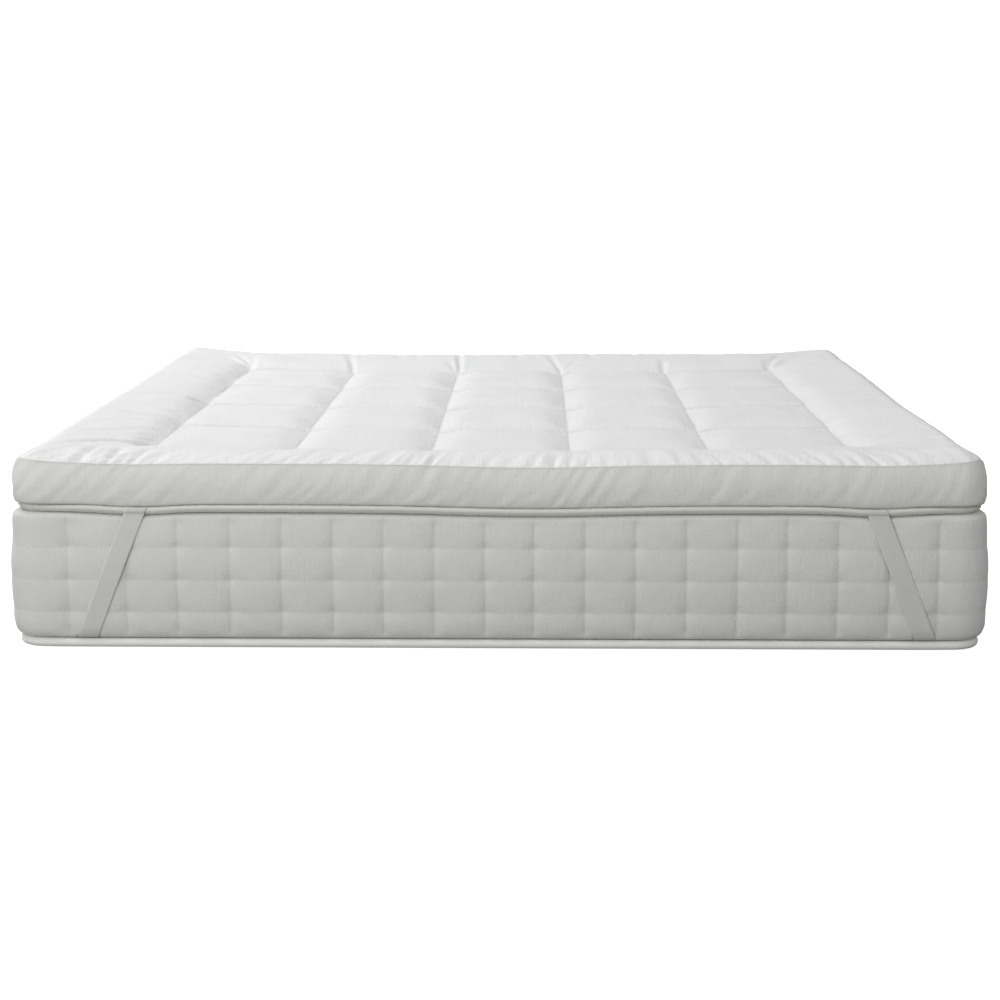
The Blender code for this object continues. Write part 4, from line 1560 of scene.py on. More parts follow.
    def wall_relief(self, station: Station, run: float, depth: float) -> Array:
        """How far one level of the wall stands out or in for its puckers.

        Args:
            station: The stations round the outline.
            run: How far down the wall the level is.
            depth: The whole depth of the wall.

        Returns:
            The distance outwards for each station.
        """
        on_foot = np.clip(-station.out_y, 0.0, 1.0)
        turn = run * (0.70 - 0.35 * on_foot * np.clip(station.x / self.bed.half_width, -1.0, 1.0))
        fine, broad, strength = (Unevenness.round_trip(seed, pitch, self.bed.girth)
                                 for seed, pitch in ((71, 0.0165), (72, 0.028), (73, 0.330)))
        from_top = run / depth
        upper = math.exp(-((from_top / 0.50) ** 2)) * eased(from_top / 0.07)
        lower = math.exp(-(((1 - from_top) / 0.30) ** 2)) * eased((1 - from_top) / 0.08)
        middle = 1 - 0.6 * smooth_step(np.abs(station.out_x * station.out_y) * 2)
        amount = (1.0 + 0.55 * strength.along(station.round)) * middle
        place = station.round + turn
        puckers = fine.puffs(place) * (self.wall_pucker_top * upper + self.wall_pucker_low * lower)
        swells = broad.puffs(place + 0.004 * math.sin(9 * from_top)) * self.wall_swell
        relief = amount * puckers + swells * eased(from_top / 0.18) * eased((1 - from_top) / 0.2)
        for side, gathers in self.gather_table().items():
            along = {Side.FOOT: -station.out_y, Side.HEAD: station.out_y,
                     Side.RIGHT: station.out_x, Side.LEFT: -station.out_x}[side]
            near = along > 0.9
            place_on_side, _ = self.edge_frame(side, station.x[near], station.y[near])
            part = np.zeros(place_on_side.shape)
            for gather in gathers:
                span = ((place_on_side - gather.place + 0.35 * run) / (gather.width * 1.15)) ** 2
                part -= 0.30 * gather.depth * furrow(span)
            relief[near] += part * math.exp(-((from_top / 0.45) ** 2)) * eased(from_top / 0.05)
        return relief

    def build(self) -> bpy.types.Object:
        """Makes the whole pad as one closed piece.

        Returns:
            The pad.
        """
        top_x, top_y = self.round_corner(*np.meshgrid(*self.grid_lines()))
        number = np.arange(top_x.size).reshape(top_x.shape)
        ring = np.concatenate([number[0, :-1], number[:-1, -1], number[-1, :0:-1], number[:0:-1, 0]])
        points = np.stack([top_x, top_y, self.height(top_x, top_y)], axis=-1).reshape(-1, 3)
        seam_x, seam_y, _ = points[ring].T
        out_x, out_y = self.bed.outward(seam_x, seam_y)
        x = seam_x + out_x * self.edge_inset
        y = seam_y + out_y * self.edge_inset
        station = Station(x, y, out_x, out_y, self.bed.round_trip(x, y))
        drawn_in = np.stack([out_x * 0.7, out_y * 0.7, np.full(len(ring), 0.5)], axis=-1)
        points[ring] -= self.edge_pinch * drawn_in
        gap_x, gap_y = self.seam_gap(top_x.ravel(), top_y.ravel())
        from_edge = self.bed.from_edge(top_x, top_y).ravel() - self.edge_inset
        # Painted shade: darker colour along the quilting seams and the edge seam.
        painted_seam_shade = np.exp(-np.minimum(np.minimum(gap_x * 1.8, gap_y), from_edge * 1.4) / 0.004)
        puckered = np.clip(0.15 + np.exp(-np.minimum(np.minimum(gap_x, gap_y), from_edge) / 0.030), 0, 1)
        # The wall mask gives the wall the darker copy of the cloth's colour, which is painted shade.
        masks = {"painted_seam_shade": [painted_seam_shade], "painted_dim_wall": [np.zeros(len(points))], "puckered": [puckered]}
        skin = Skin(grid_faces(*top_x.shape), [points], [points[:, :2]], masks, ring)
        depth = self.wall_runs[-1]
        dip_top = self.top_dip(seam_x, seam_y)
        for run, out, level in zip(self.wall_runs, *self.wall_profile()):
            above = smooth_step((level - self.waist) / (self.edge_seam - self.waist))
            fuller = self.corner_bulge * self.bed.cornering(x, y, 0.09) * (1 - above)
            spots = station.spots(out + self.wall_relief(station, run, depth) + fuller)
            dip = self.bed.edge_dip(*spots) * (1 - above) + dip_top * above
            # Painted shade: darker colour on the wall just below the edge seam and just above the roll.
            painted_seam_shade = min(math.exp(-run / 0.0035) + math.exp(-(depth - run) / 0.0050), 1.0)
            # The whole wall takes the darker copy of the cloth's colour: painted shade.
            skin.add_ring((*spots, level + self.lift(x, y) * above - dip), (station.round, level - 1.0), {
                "painted_seam_shade": painted_seam_shade, "painted_dim_wall": 1.0, "puckered": 0.45 + 0.55 * math.exp(-run / 0.03)})
        for out, level in self.underside:
            spots = station.spots(out)
            skin.add_ring((*spots, level - self.bed.edge_dip(*spots)), (station.round, out - 1.1), {
                "painted_seam_shade": 0.0, "painted_dim_wall": 1.0, "puckered": 0.0})
        return skin.closed("topper_pad_cloth", self.finish.material())

    def dress(self) -> None:
        """Builds the pad, hangs it on the root body and hides the part that it replaces."""
        made = self.build()
        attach(made, "root")
        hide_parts(self.node)
        report(made)


# The rolled edge

@dataclass(frozen=True)
class RolledEdge:
    """The cord-filled roll that is sewn round the waist of the topper."""

    bed: Bed
    finish: Finish
    node: str = "topper_piping"
    slot: str = "topper_edge"
    radius: float = 0.0073
    out: float = -0.0040
    height: float = 0.2630
    corner_tuck: float = 0.0085
    pitch: float = 0.0055
    sides: int = 14

    def build(self) -> bpy.types.Object:
        """Makes the roll as one closed tube with uneven gathers.

        Returns:
            The roll.
        """
        station = self.bed.even_stations(self.pitch, 16)
        count = len(station.x)
        middle_x, middle_y = station.spots(self.out)
        middle_z = self.height - self.bed.edge_dip(middle_x, middle_y)
        girth = self.bed.girth
        slow = Unevenness.round_trip(81, 0.140, girth)
        fine = Unevenness.round_trip(82, 0.013, girth)
        in_corner = self.bed.cornering(station.x, station.y, 0.095)
        middle_x = middle_x - station.out_x * in_corner * self.corner_tuck
        middle_y = middle_y - station.out_y * in_corner * self.corner_tuck
        layers = []
        for side in range(self.sides):
            turn = 2 * math.pi * side / self.sides
            shift = 0.010 * math.sin(turn)
            pinch = 0.030 + 0.030 * slow.along(station.round) - 0.10 * fine.puffs(station.round + shift)
            reach = self.radius * (1 - np.clip(pinch, 0.0, 0.14)) * (1 - 0.25 * in_corner)
            flatter = 1.0 - 0.10 * max(-math.cos(turn), 0.0) - 0.62 * max(-math.sin(turn), 0.0)
            out = reach * math.cos(turn) * flatter
            rise = reach * math.sin(turn)
            layers.append(np.stack([middle_x + station.out_x * out, middle_y + station.out_y * out,
                                    middle_z + rise], axis=-1))
        points = np.stack(layers, axis=1).reshape(-1, 3)
        number = np.arange(count * self.sides).reshape(count, self.sides)
        faces = []
        for side in range(self.sides):
            faces += band_faces(number[:, (side + 1) % self.sides], number[:, side])
        turns = np.arange(self.sides) / self.sides * 2 * math.pi * self.radius
        flat = np.stack([np.repeat(station.round, self.sides), np.tile(turns, count)], axis=-1)
        return add_mesh("topper_rolled_edge", points, faces, self.finish.material(), flat)

    def dress(self) -> None:
        """Builds the roll, hangs it on the root body and hides the part that it replaces."""
        made = self.build()
        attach(made, "root")
        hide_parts(self.node)
        report(made)


# The straps

class StripPoint(NamedTuple):
    """A point of a strap's middle line, and half of its width as a vector there."""

    middle: Array
    half_width: Array


@dataclass(frozen=True)
class ElasticStrap:
    """One elastic strap, from the waist down the wall, under the corner and up the next wall."""

    bed: Bed
    place: StrapPlace
    material: bpy.types.Material
    slot: str = "elastic"
    width: float = 0.036
    thickness: float = 0.0013
    gap: float = 0.0005
    slant: float = 0.3955
    flat_half: float = 0.023
    roll_radius: float = 0.0080
    roll_out: float = -0.0046
    roll_height: float = 0.2640
    roll_angles: tuple[float, ...] = (40, 20, 0, -20, -40)
    wall: tuple[Level, ...] = (
        Level(0.0038, 0.2430), Level(0.0066, 0.2220), Level(0.0120, 0.1615), Level(0.0122, 0.1010),
        Level(0.0108, 0.0480), Level(0.0082, 0.0330), Level(0.0034, 0.0240), Level(-0.0040, 0.0198),
        Level(-0.0112, 0.0184), Level(-0.0160, 0.0142), Level(-0.0175, 0.0060), Level(-0.0182, 0.0028),
        Level(-0.0200, 0.00135),
    )
    under_steps: int = 6
    under_handle: float = 0.055
    across: int = 12

    def descent(self, on_end: bool) -> list[StripPoint]:
        """The strap's points down one wall.

        Args:
            on_end: Whether it is the wall of the end of the bed, or of the side.

        Returns:
            The points, from the roll down.
        """
        bed = self.bed
        axes = (np.array([self.place.x_side, 0, 0]), np.array([0, self.place.y_side, 0]))
        halves = (bed.half_width, bed.half_length)
        along_axis, out_axis = axes if on_end else axes[::-1]
        along_half, out_half = halves if on_end else halves[::-1]
        half_width = along_axis * (self.width / 2 * math.hypot(1.0, self.slant))
        from_middle = along_half - self.place.from_corner
        start = out_axis * (out_half + self.roll_out) + along_axis * (from_middle + self.flat_half)
        drop = float(bed.edge_dip(start[0], start[1]))
        wrap = self.roll_radius + self.gap + self.thickness / 2
        turns = [math.radians(angle) for angle in self.roll_angles]
        levels = [Level(self.roll_out + wrap * math.cos(turn),
                        self.roll_height + wrap * math.sin(turn) - drop) for turn in turns]
        points = []
        for level in (*levels, *self.wall):
            along = from_middle + (self.roll_height - level.height) * self.slant
            middle = out_axis * (out_half + level.out) + along_axis * along + (0, 0, level.height)
            points.append(StripPoint(middle, half_width))
        return points

    def underside(self, start: StripPoint, end: StripPoint, out_start: Array,
                  out_end: Array) -> list[StripPoint]:
        """The strap's points under the corner, from one wall to the other.

        Args:
            start: The last point on the first wall.
            end: The first point on the next wall.
            out_start: The way out of the first wall.
            out_end: The way out of the next wall.

        Returns:
            The points between the two walls.
        """
        heading_start = out_end - out_start / self.slant
        heading_end = out_start - out_end / self.slant
        handle_start = start.middle + heading_start / np.linalg.norm(heading_start) * self.under_handle
        handle_end = end.middle + heading_end / np.linalg.norm(heading_end) * self.under_handle
        points = []
        for step in range(1, self.under_steps):
            share = step / self.under_steps
            rest = 1.0 - share
            middle = (start.middle * rest**3 + handle_start * (3 * rest * rest * share)
                      + handle_end * (3 * rest * share * share) + end.middle * share**3)
            swing = start.half_width * rest + end.half_width * share
            widest = np.linalg.norm(start.half_width) - self.width / 2
            width = self.width / 2 + widest * abs(rest - share)
            points.append(StripPoint(middle, swing / np.linalg.norm(swing) * width))
        return points

    def points(self) -> list[StripPoint]:
        """All of the strap's points.

        Returns:
            The points, from one wall to the next.
        """
        on_end = self.descent(True)
        on_side = self.descent(False)
        out_end = np.array([0.0, self.place.y_side, 0.0])
        out_side = np.array([self.place.x_side, 0.0, 0.0])
        return on_end + self.underside(on_end[-1], on_side[-1], out_end, out_side) + on_side[::-1]

    def build(self) -> tuple[bpy.types.Object, float]:
        """Makes the strap as a closed strip with thicker selvedges.

        Returns:
            The strap, and its length.
        """
        strip = self.points()
        middles = curve_through(np.array([point.middle for point in strip]), 5)
        widths = curve_through(np.array([point.half_width for point in strip]), 5)
        normal = np.cross(widths, np.gradient(middles, axis=0))
        normal /= np.linalg.norm(normal, axis=1)[:, None]
        if (normal[20] * (middles[20] * (1, 1, 0))).sum() < 0:
            normal = -normal
        run = np.concatenate([[0.0], np.cumsum(np.linalg.norm(np.diff(middles, axis=0), axis=1))])
        share = np.linspace(-1.0, 1.0, self.across + 1)
        rounded = 0.55 + 0.45 * np.clip((1 - np.abs(share)) / 0.10, 0.0, 1.0)
        thinner = 1 - 0.22 * np.exp(-(((np.abs(share) - 0.80) / 0.07) ** 2))
        thick = self.thickness / 2 * rounded * thinner
        over = np.concatenate([share, share[::-1]])
        up = np.concatenate([thick, -thick[::-1]])
        points = middles[:, None] + widths[:, None] * over[:, None] + normal[:, None] * up[:, None]
        count, sides = points.shape[:2]
        number = np.arange(count * sides).reshape(count, sides)
        after = np.roll(number, -1, axis=1)
        faces = [tuple(face) for face in np.stack(
            [number[:-1], number[1:], after[1:], after[:-1]], axis=-1).swapaxes(0, 1).reshape(-1, 4).tolist()]
        faces += [tuple(number[0].tolist()), tuple(number[-1][::-1].tolist())]
        flat = np.stack([np.tile(over * self.width / 2, count), np.repeat(run, sides)], axis=-1)
        selvedge = np.tile(np.exp(-(((1 - np.abs(over)) / 0.10) ** 2)), count)
        made = add_mesh(self.place.name + "_elastic", points.reshape(-1, 3), faces, self.material, flat,
                        {"selvedge": selvedge})
        shape = bmesh.new()
        shape.from_mesh(made.data)
        bmesh.ops.recalc_face_normals(shape, faces=shape.faces)
        shape.to_mesh(made.data)
        shape.free()
        return made, float(run[-1])

    def dress(self) -> None:
        """Builds the strap, hangs it on the root body and hides the part that it replaces."""
        made, length = self.build()
        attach(made, "root")
        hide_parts(self.place.name)
        report(made)

    def room(self, side_room: float = 0.0008, thickness: float = 0.0036) -> bpy.types.Object:
        """The room that the strap takes out of the mattress, behind the piping and under the corner.

        Args:
            side_room: Room beyond each edge of the strap.
            thickness: Thickness of the room.

        Returns:
            The room, as a piece to cut away.
        """
        low = [point for point in self.points() if point.middle[2] < 0.050]
        rows = []
        for point in low:
            reach = np.linalg.norm(point.half_width)
            step = point.half_width / reach * (reach + side_room)
            rows.append((point.middle - step, point.middle + step))
        points = np.array(rows).reshape(-1, 3)
        faces = [(2 * i, 2 * i + 1, 2 * i + 3, 2 * i + 2) for i in range(len(low) - 1)]
        mesh = bpy.data.meshes.new(self.place.name + "_room")
        mesh.from_pydata(points.tolist(), [], faces)
        mesh.update()
        upright = [face for face in mesh.polygons if abs(face.normal.z) < 0.2]
        widest = max(upright, key=lambda face: face.area)
        if widest.normal.x * widest.center.x + widest.normal.y * widest.center.y < 0.0:
            mesh.flip_normals()
        made = bpy.data.objects.new(self.place.name + "_room", mesh)
        bpy.context.scene.collection.objects.link(made)
        shell = made.modifiers.new("thickness", "SOLIDIFY")
        shell.thickness = thickness
        shell.offset = 0.30
        shell.use_even_offset = True
        return made


# The mattress

@dataclass(frozen=True)
class Mattress:
    """The plain mattress: a quilted knit wall between a soft shoulder and the piping."""

    bed: Bed
    finish: Finish
    straps: tuple[ElasticStrap, ...]
    node: str = "mattress_body"
    slot: str = "mattress_tick"
    top: float = 0.2550
    shoulder_from: float = 0.1615
    end_seams: tuple[float, ...] = (
        -0.7936, -0.6860, -0.5910, -0.4936, -0.3980, -0.3032, -0.2102, -0.1161, -0.0226,
        0.0672, 0.1614, 0.2543, 0.3480, 0.4416, 0.5323, 0.6258, 0.7199, 0.8087,
    )
    pitch_sides: float = 0.0950
    seams_sides: int = 20
    rows: tuple[float, ...] = (0.1920, 0.1310, 0.0705)
    depth: float = 0.0078
    cusp: float = 2.4
    row_share: float = 0.26
    cell_steps: int = 16
    corner_bulge: float = 0.0040
    lump_depth: float = 0.00045
    wall: tuple[Level, ...] = (
        Level(-0.0500, 0.2550), Level(-0.0210, 0.2549), Level(-0.0078, 0.2544), Level(-0.0008, 0.2508),
        Level(0.0024, 0.2430), Level(0.0058, 0.2220), Level(0.0090, 0.1920), Level(0.0112, 0.1615),
        Level(0.0122, 0.1310), Level(0.0116, 0.1010), Level(0.0106, 0.0705), Level(0.0090, 0.0450),
        Level(0.0052, 0.0285), Level(-0.0034, 0.0196), Level(-0.0158, 0.0172), Level(-0.0158, 0.0000),
    )

    def seams(self, on_end: bool) -> Array:
        """Where the upright seams are on an end or on a side."""
        if on_end:
            return np.array(self.end_seams)
        return (np.arange(self.seams_sides) - (self.seams_sides - 1) / 2) * self.pitch_sides

    def side_marks(self, on_end: bool) -> list[float]:
        """Marks along one side, close together at each seam.

        Args:
            on_end: Whether it is on an end of the bed, or on a side.

        Returns:
            The marks, rising.
        """
        inner = (self.bed.half_width if on_end else self.bed.half_length) - self.bed.corner
        seams = self.seams(on_end)
        marks = eased_lines(-inner, seams[0], 9, 0.0)[1:]
        for start, end in zip(seams, seams[1:]):
            marks += eased_lines(start, end, self.cell_steps, 0.72)
        marks += eased_lines(seams[-1], inner, 9, 0.0)
        return marks

    def wall_levels(self) -> Array:
        """The wall's levels, (out, height), close together at the rows of stitching.

        Returns:
            The levels, from the top down.
        """
        curve = curve_through(np.array(self.wall[1:-1]), 16)
        heights = eased_lines(0.2540, self.rows[0], 15, 0.30)
        for upper, lower in zip(self.rows, self.rows[1:]):
            heights += eased_lines(upper, lower, 11, 0.60)
        heights += eased_lines(self.rows[-1], 0.0172, 13, 0.25) + [0.0172]
        order = np.argsort(curve[:, 1])
        outs = np.interp(heights, curve[order, 1], curve[order, 0])
        return np.stack([outs, np.array(heights)], axis=-1)

    def seam_offset(self, station: Station) -> tuple[Array, Array]:
        """How near each station is to a seam, from 0 to 1 within its cell, and how far it is from the seam.

        Args:
            station: The stations round the outline.

        Returns:
            The nearness and the distance of each station.
        """
        on_end = np.abs(station.out_y) >= np.abs(station.out_x)
        share = np.zeros(station.x.shape)
        gap = np.full(station.x.shape, 0.05)
        for end, place in ((True, station.x), (False, station.y)):
            pick = on_end == end
            seams = self.seams(end)
            spots = place[pick]
            after = np.clip(np.searchsorted(seams, spots), 1, len(seams) - 1)
            half = np.maximum(seams[after] - seams[after - 1], 0.08) / 2
            gap[pick] = np.min(np.abs(spots[:, None] - seams), axis=1)
            share[pick] = np.clip(1 - gap[pick] / half, 0.0, 1.0)
        return share, gap

    def relief(self, station: Station, height: float) -> tuple[Array, Array]:
        """How deep the quilting draws one level in, and how near it is to a seam, for the painted shade in
        the seams.

        Args:
            station: The stations round the outline.
            height: The level's height.

        Returns:
            The depth inwards, and the nearness from 0 to 1, which darkens the colour in the seams as painted
            shade.
        """
        share, gap = self.seam_offset(station)
        fade = eased((0.2530 - height) / 0.020)
        bottom = eased((height - 0.018) / 0.016)
        edges = [0.262, *self.rows, 0.014]
        index = int(np.searchsorted(-np.array(edges), -height, side="right")) - 1
        index = min(max(index, 0), len(edges) - 2)
        span = edges[index] - edges[index + 1]
        nearest_row = min(abs(height - row) for row in self.rows)
        level = max(1 - 2 * nearest_row / span, 0.0) ** self.cusp
        upright = 0.5 * share**2 + 0.5 * share**7
        along_seam = (0.62 + 0.20 * level) * (1.0 + 0.35 * eased((0.125 - height) / 0.080))
        row_depth = self.row_share + (1 - self.row_share) * share**3
        groove = 1 - (1 - upright * along_seam * fade) * (1 - level * row_depth * 0.6)
        crossing = 0.25 * np.exp(-((gap / 0.008) ** 2) - (nearest_row / 0.008) ** 2)
        level_place = np.full(station.round.shape, height)
        lumps = Unevenness.round_trip(91, 0.031, self.bed.girth).over(station.round, level_place + 1.0)
        slanted = Unevenness.round_trip(92, 0.012, self.bed.girth).over(
            station.round + 0.9 * height, level_place * 0.4 + 1.0)
        low = eased((0.105 - height) / 0.070)
        uneven = self.lump_depth * lumps + (0.00012 + 0.00040 * low) * slanted
        # Painted shade: darker colour along the upright seams, and at half strength along the rows.
        near = np.maximum(np.exp(-gap / 0.0015) * fade, math.exp(-nearest_row / 0.0012) * 0.5)
        return (self.depth * (groove + crossing) - uneven) * bottom, near * bottom

    def build(self) -> bpy.types.Object:
        """Makes the mattress as one closed piece, with room for the straps.

        Returns:
            The mattress.
        """
        ends = self.side_marks(True)
        sides = self.side_marks(False)
        station = self.bed.stations((ends, sides, ends, sides), 14)
        skin = Skin([tuple(range(len(station.x)))])
        for out, height in (self.wall[0], *self.wall_levels().tolist(), self.wall[-1]):
            depth, near = self.relief(station, height)
            if height > 0.2539 or height < 0.001:
                depth = np.zeros(depth.shape)
            fuller = self.corner_bulge * eased((height - 0.205) / 0.045) * self.bed.cornering(
                station.x, station.y, 0.09)
            spots = station.spots(out - depth + fuller)
            shoulder = eased((height - self.shoulder_from) / (self.top - self.shoulder_from))
            skin.add_ring((*spots, height - self.bed.edge_dip(*spots) * shoulder), (station.round, height),
                          {"painted_seam_shade": near})
        made = skin.closed("mattress_quilted_body", self.finish.material())
        rooms = [strap.room() for strap in self.straps]
        for room in rooms:
            cut = made.modifiers.new(room.name, "BOOLEAN")
            cut.operation = "DIFFERENCE"
            cut.object = room
            cut.solver = "MANIFOLD"
        bake(made)
        for room in rooms:
            bpy.data.objects.remove(room, do_unlink=True)
        made.data.shade_smooth()
        return made

    def dress(self) -> None:
        """Builds the mattress, hangs it on the root body and hides the part that it replaces."""
        made = self.build()
        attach(made, "root")
        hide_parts(self.node)
        report(made)


# What repeats: ribs and stitches, by geometry nodes

def new_modifier_tree(name: str, inputs: dict[str, tuple[str, object]]) -> Graph:
    """Starts a geometry tree that takes and gives a mesh.

    Args:
        name: The tree's name.
        inputs: For each input, its kind of socket and its usual value.

    Returns:
        The tree's graph.
    """
    graph = new_group(name, {"Mesh": ("NodeSocketGeometry", None), **inputs}, {"Mesh": "NodeSocketGeometry"},
                      "GeometryNodeTree")
    graph.tree.is_modifier = True
    return graph


def end_tree(graph: Graph, last: bpy.types.Node, finish: bpy.types.NodeSocket) -> None:
    """Makes what a geometry tree has built plain, smooth and finished.

    Args:
        graph: The tree's graph.
        last: The node that gives the mesh.
        finish: The socket that gives the finish.
    """
    plain = graph.add("GeometryNodeRealizeInstances", {0: last.outputs[0]})
    smooth = graph.add("GeometryNodeSetShadeSmooth", {0: plain.outputs[0]})
    dressed = graph.add("GeometryNodeSetMaterial", {0: smooth.outputs[0], "Material": finish})
    graph.add("NodeGroupOutput", {0: dressed.outputs[0]})


def rib_tree() -> bpy.types.NodeTree:
    """A cord that follows the mesh's edges, with even ribs across it."""
    inputs = {
        "Radius": (FLOAT, 0.0085), "Rib Pitch": (FLOAT, 0.005), "Rib Depth": (FLOAT, 0.04),
        "Steps": (WHOLE, 6000), "Sides": (WHOLE, 12), "Finish": ("NodeSocketMaterial", None),
    }
    graph = new_modifier_tree("ribbed_cord", inputs)
    source = graph.add("NodeGroupInput").outputs
    path = graph.add("GeometryNodeMeshToCurve", {0: source["Mesh"]})
    even = graph.add("GeometryNodeResampleCurve", {"Curve": path.outputs[0], "Count": source["Steps"]})
    along = graph.add("GeometryNodeSplineParameter")
    cycles = graph.math("DIVIDE", along.outputs["Length"], source["Rib Pitch"])
    wave = graph.math("ABSOLUTE", graph.math("SINE", graph.math("MULTIPLY", cycles, math.pi)))
    dip = graph.math("MULTIPLY", graph.math("SUBTRACT", 1.0, wave), source["Rib Depth"])
    thick = graph.math("SUBTRACT", 1.0, dip)
    sized = graph.add("GeometryNodeSetCurveRadius", {"Curve": even.outputs[0], "Radius": thick})
    ring = graph.add("GeometryNodeCurvePrimitiveCircle", {
        "Resolution": source["Sides"], "Radius": source["Radius"]})
    tube = graph.add("GeometryNodeCurveToMesh", {
        "Curve": sized.outputs[0], "Profile Curve": ring.outputs[0], "Scale": thick})
    end_tree(graph, tube, source["Finish"])
    return graph.tree


def stitch_tree() -> bpy.types.NodeTree:
    """Stitches along the mesh's edges, each a small plump bead of thread."""
    inputs = {
        "Pitch": (FLOAT, 0.007), "Length": (FLOAT, 0.0046), "Thickness": (FLOAT, 0.0007),
        "Seed": (WHOLE, 3), "Finish": ("NodeSocketMaterial", None),
    }
    graph = new_modifier_tree("stitch_row", inputs)
    source = graph.add("NodeGroupInput").outputs
    path = graph.add("GeometryNodeMeshToCurve", {0: source["Mesh"]})
    even = graph.add("GeometryNodeResampleCurve", {"Curve": path.outputs[0], "Length": source["Pitch"]},
                     mode="LENGTH")
    tangent = graph.add("GeometryNodeInputTangent")
    turned = graph.add("FunctionNodeAlignRotationToVector", {"Vector": tangent.outputs[0]}, axis="X")
    uneven = graph.add("FunctionNodeRandomValue", {2: 0.88, 3: 1.08, "Seed": source["Seed"]},
                       data_type="FLOAT")
    long = graph.math("MULTIPLY", source["Length"], uneven.outputs[1])
    size = graph.add("ShaderNodeCombineXYZ", {0: long, 1: source["Thickness"], 2: source["Thickness"]})
    bead = graph.add("GeometryNodeMeshUVSphere", {"Segments": 4, "Rings": 4, "Radius": 0.5})
    rows = graph.add("GeometryNodeInstanceOnPoints", {
        "Points": even.outputs[0], "Instance": bead.outputs[0], "Rotation": turned.outputs[0],
        "Scale": size.outputs[0]})
    end_tree(graph, rows, source["Finish"])
    return graph.tree


def grown(name: str, lines: Sequence[Array], closed: bool, tree: bpy.types.NodeTree,
          values: dict) -> bpy.types.Object:
    """Runs a geometry tree on lines and keeps the plain mesh that it gives.

    Args:
        name: The piece's name.
        lines: Each line's points.
        closed: Whether each line ends where it starts.
        tree: The geometry tree.
        values: The tree's inputs, by name.

    Returns:
        The piece.
    """
    points = np.vstack(lines)
    edges = []
    start = 0
    for line in lines:
        edges += [(start + step, start + step + 1) for step in range(len(line) - 1)]
        if closed:
            edges.append((start + len(line) - 1, start))
        start += len(line)
    mesh = bpy.data.meshes.new(name)
    mesh.from_pydata(points.tolist(), edges, [])
    made = bpy.data.objects.new(name, mesh)
    bpy.context.scene.collection.objects.link(made)
    modifier = made.modifiers.new(tree.name, "NODES")
    modifier.node_group = tree
    for item in tree.interface.items_tree:
        if item.item_type == "SOCKET" and item.in_out == "INPUT" and item.name in values:
            modifier[item.identifier] = values[item.name]
    bake(made)
    if not made.data.materials:
        made.data.materials.append(values["Finish"])
    return made


@dataclass(frozen=True)
class MattressPiping:
    """The ribbed piping round the mattress's lower edge."""

    bed: Bed
    finish: Finish
    node: str = "mattress_piping"
    slot: str = "mattress_piping"
    radius: float = 0.0085
    out: float = -0.0070
    corner_tuck: float = 0.0045
    height: float = 0.0088
    rib_pitch: float = 0.0046
    rib_depth: float = 0.045
    steps: int = 6400
    sides: int = 12

    def dress(self) -> None:
        """Builds the piping, hangs it on the root body and hides the part that it replaces."""
        station = self.bed.even_stations(0.020, 16)
        out = self.out - self.corner_tuck * self.bed.cornering(station.x, station.y, 0.070)
        line = np.stack([*station.spots(out), np.full(station.x.shape, self.height)], axis=-1)
        made = grown("mattress_ribbed_piping", [line], True, rib_tree(), {
            "Radius": self.radius, "Rib Pitch": self.rib_pitch, "Rib Depth": self.rib_depth,
            "Steps": self.steps, "Sides": self.sides, "Finish": self.finish.material()})
        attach(made, "root")
        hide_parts(self.node)
        report(made)


@dataclass(frozen=True)
class Stitching:
    """The rows of stitches in the quilting seams of the topper."""

    pad: TopperPad
    finish: Finish
    sink: float = 0.0001
    step: float = 0.004
    pitch: float = 0.0062
    length: float = 0.0048
    thickness: float = 0.0008

    def lines(self) -> list[Array]:
        """The quilting seams of the top, laid in their valleys.

        Returns:
            The points of each seam.
        """
        lines_x, lines_y = self.pad.seam_lines
        across = np.arange(lines_x[0], lines_x[-1], self.step)
        along = np.arange(lines_y[0], lines_y[-1], self.step)
        runs = [(np.full(along.shape, line), along) for line in lines_x]
        runs += [(across, np.full(across.shape, line)) for line in lines_y]
        return [np.stack([x, y, self.pad.height(x, y) + self.sink], axis=-1) for x, y in runs]

    def dress(self) -> None:
        """Builds the rows of stitches and hangs them on the root body."""
        made = grown("topper_quilting_stitches", self.lines(), False, stitch_tree(), {
            "Pitch": self.pitch, "Length": self.length, "Thickness": self.thickness, "Seed": 5,
            "Finish": self.finish.material()})
        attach(made, "root")
        report(made)


# The studio

class Lamp(NamedTuple):
    """A soft lamp: where it hangs, its power and its colour."""

    name: str
    place: tuple[float, float, float]
    power: float
    colour: tuple[float, float, float]


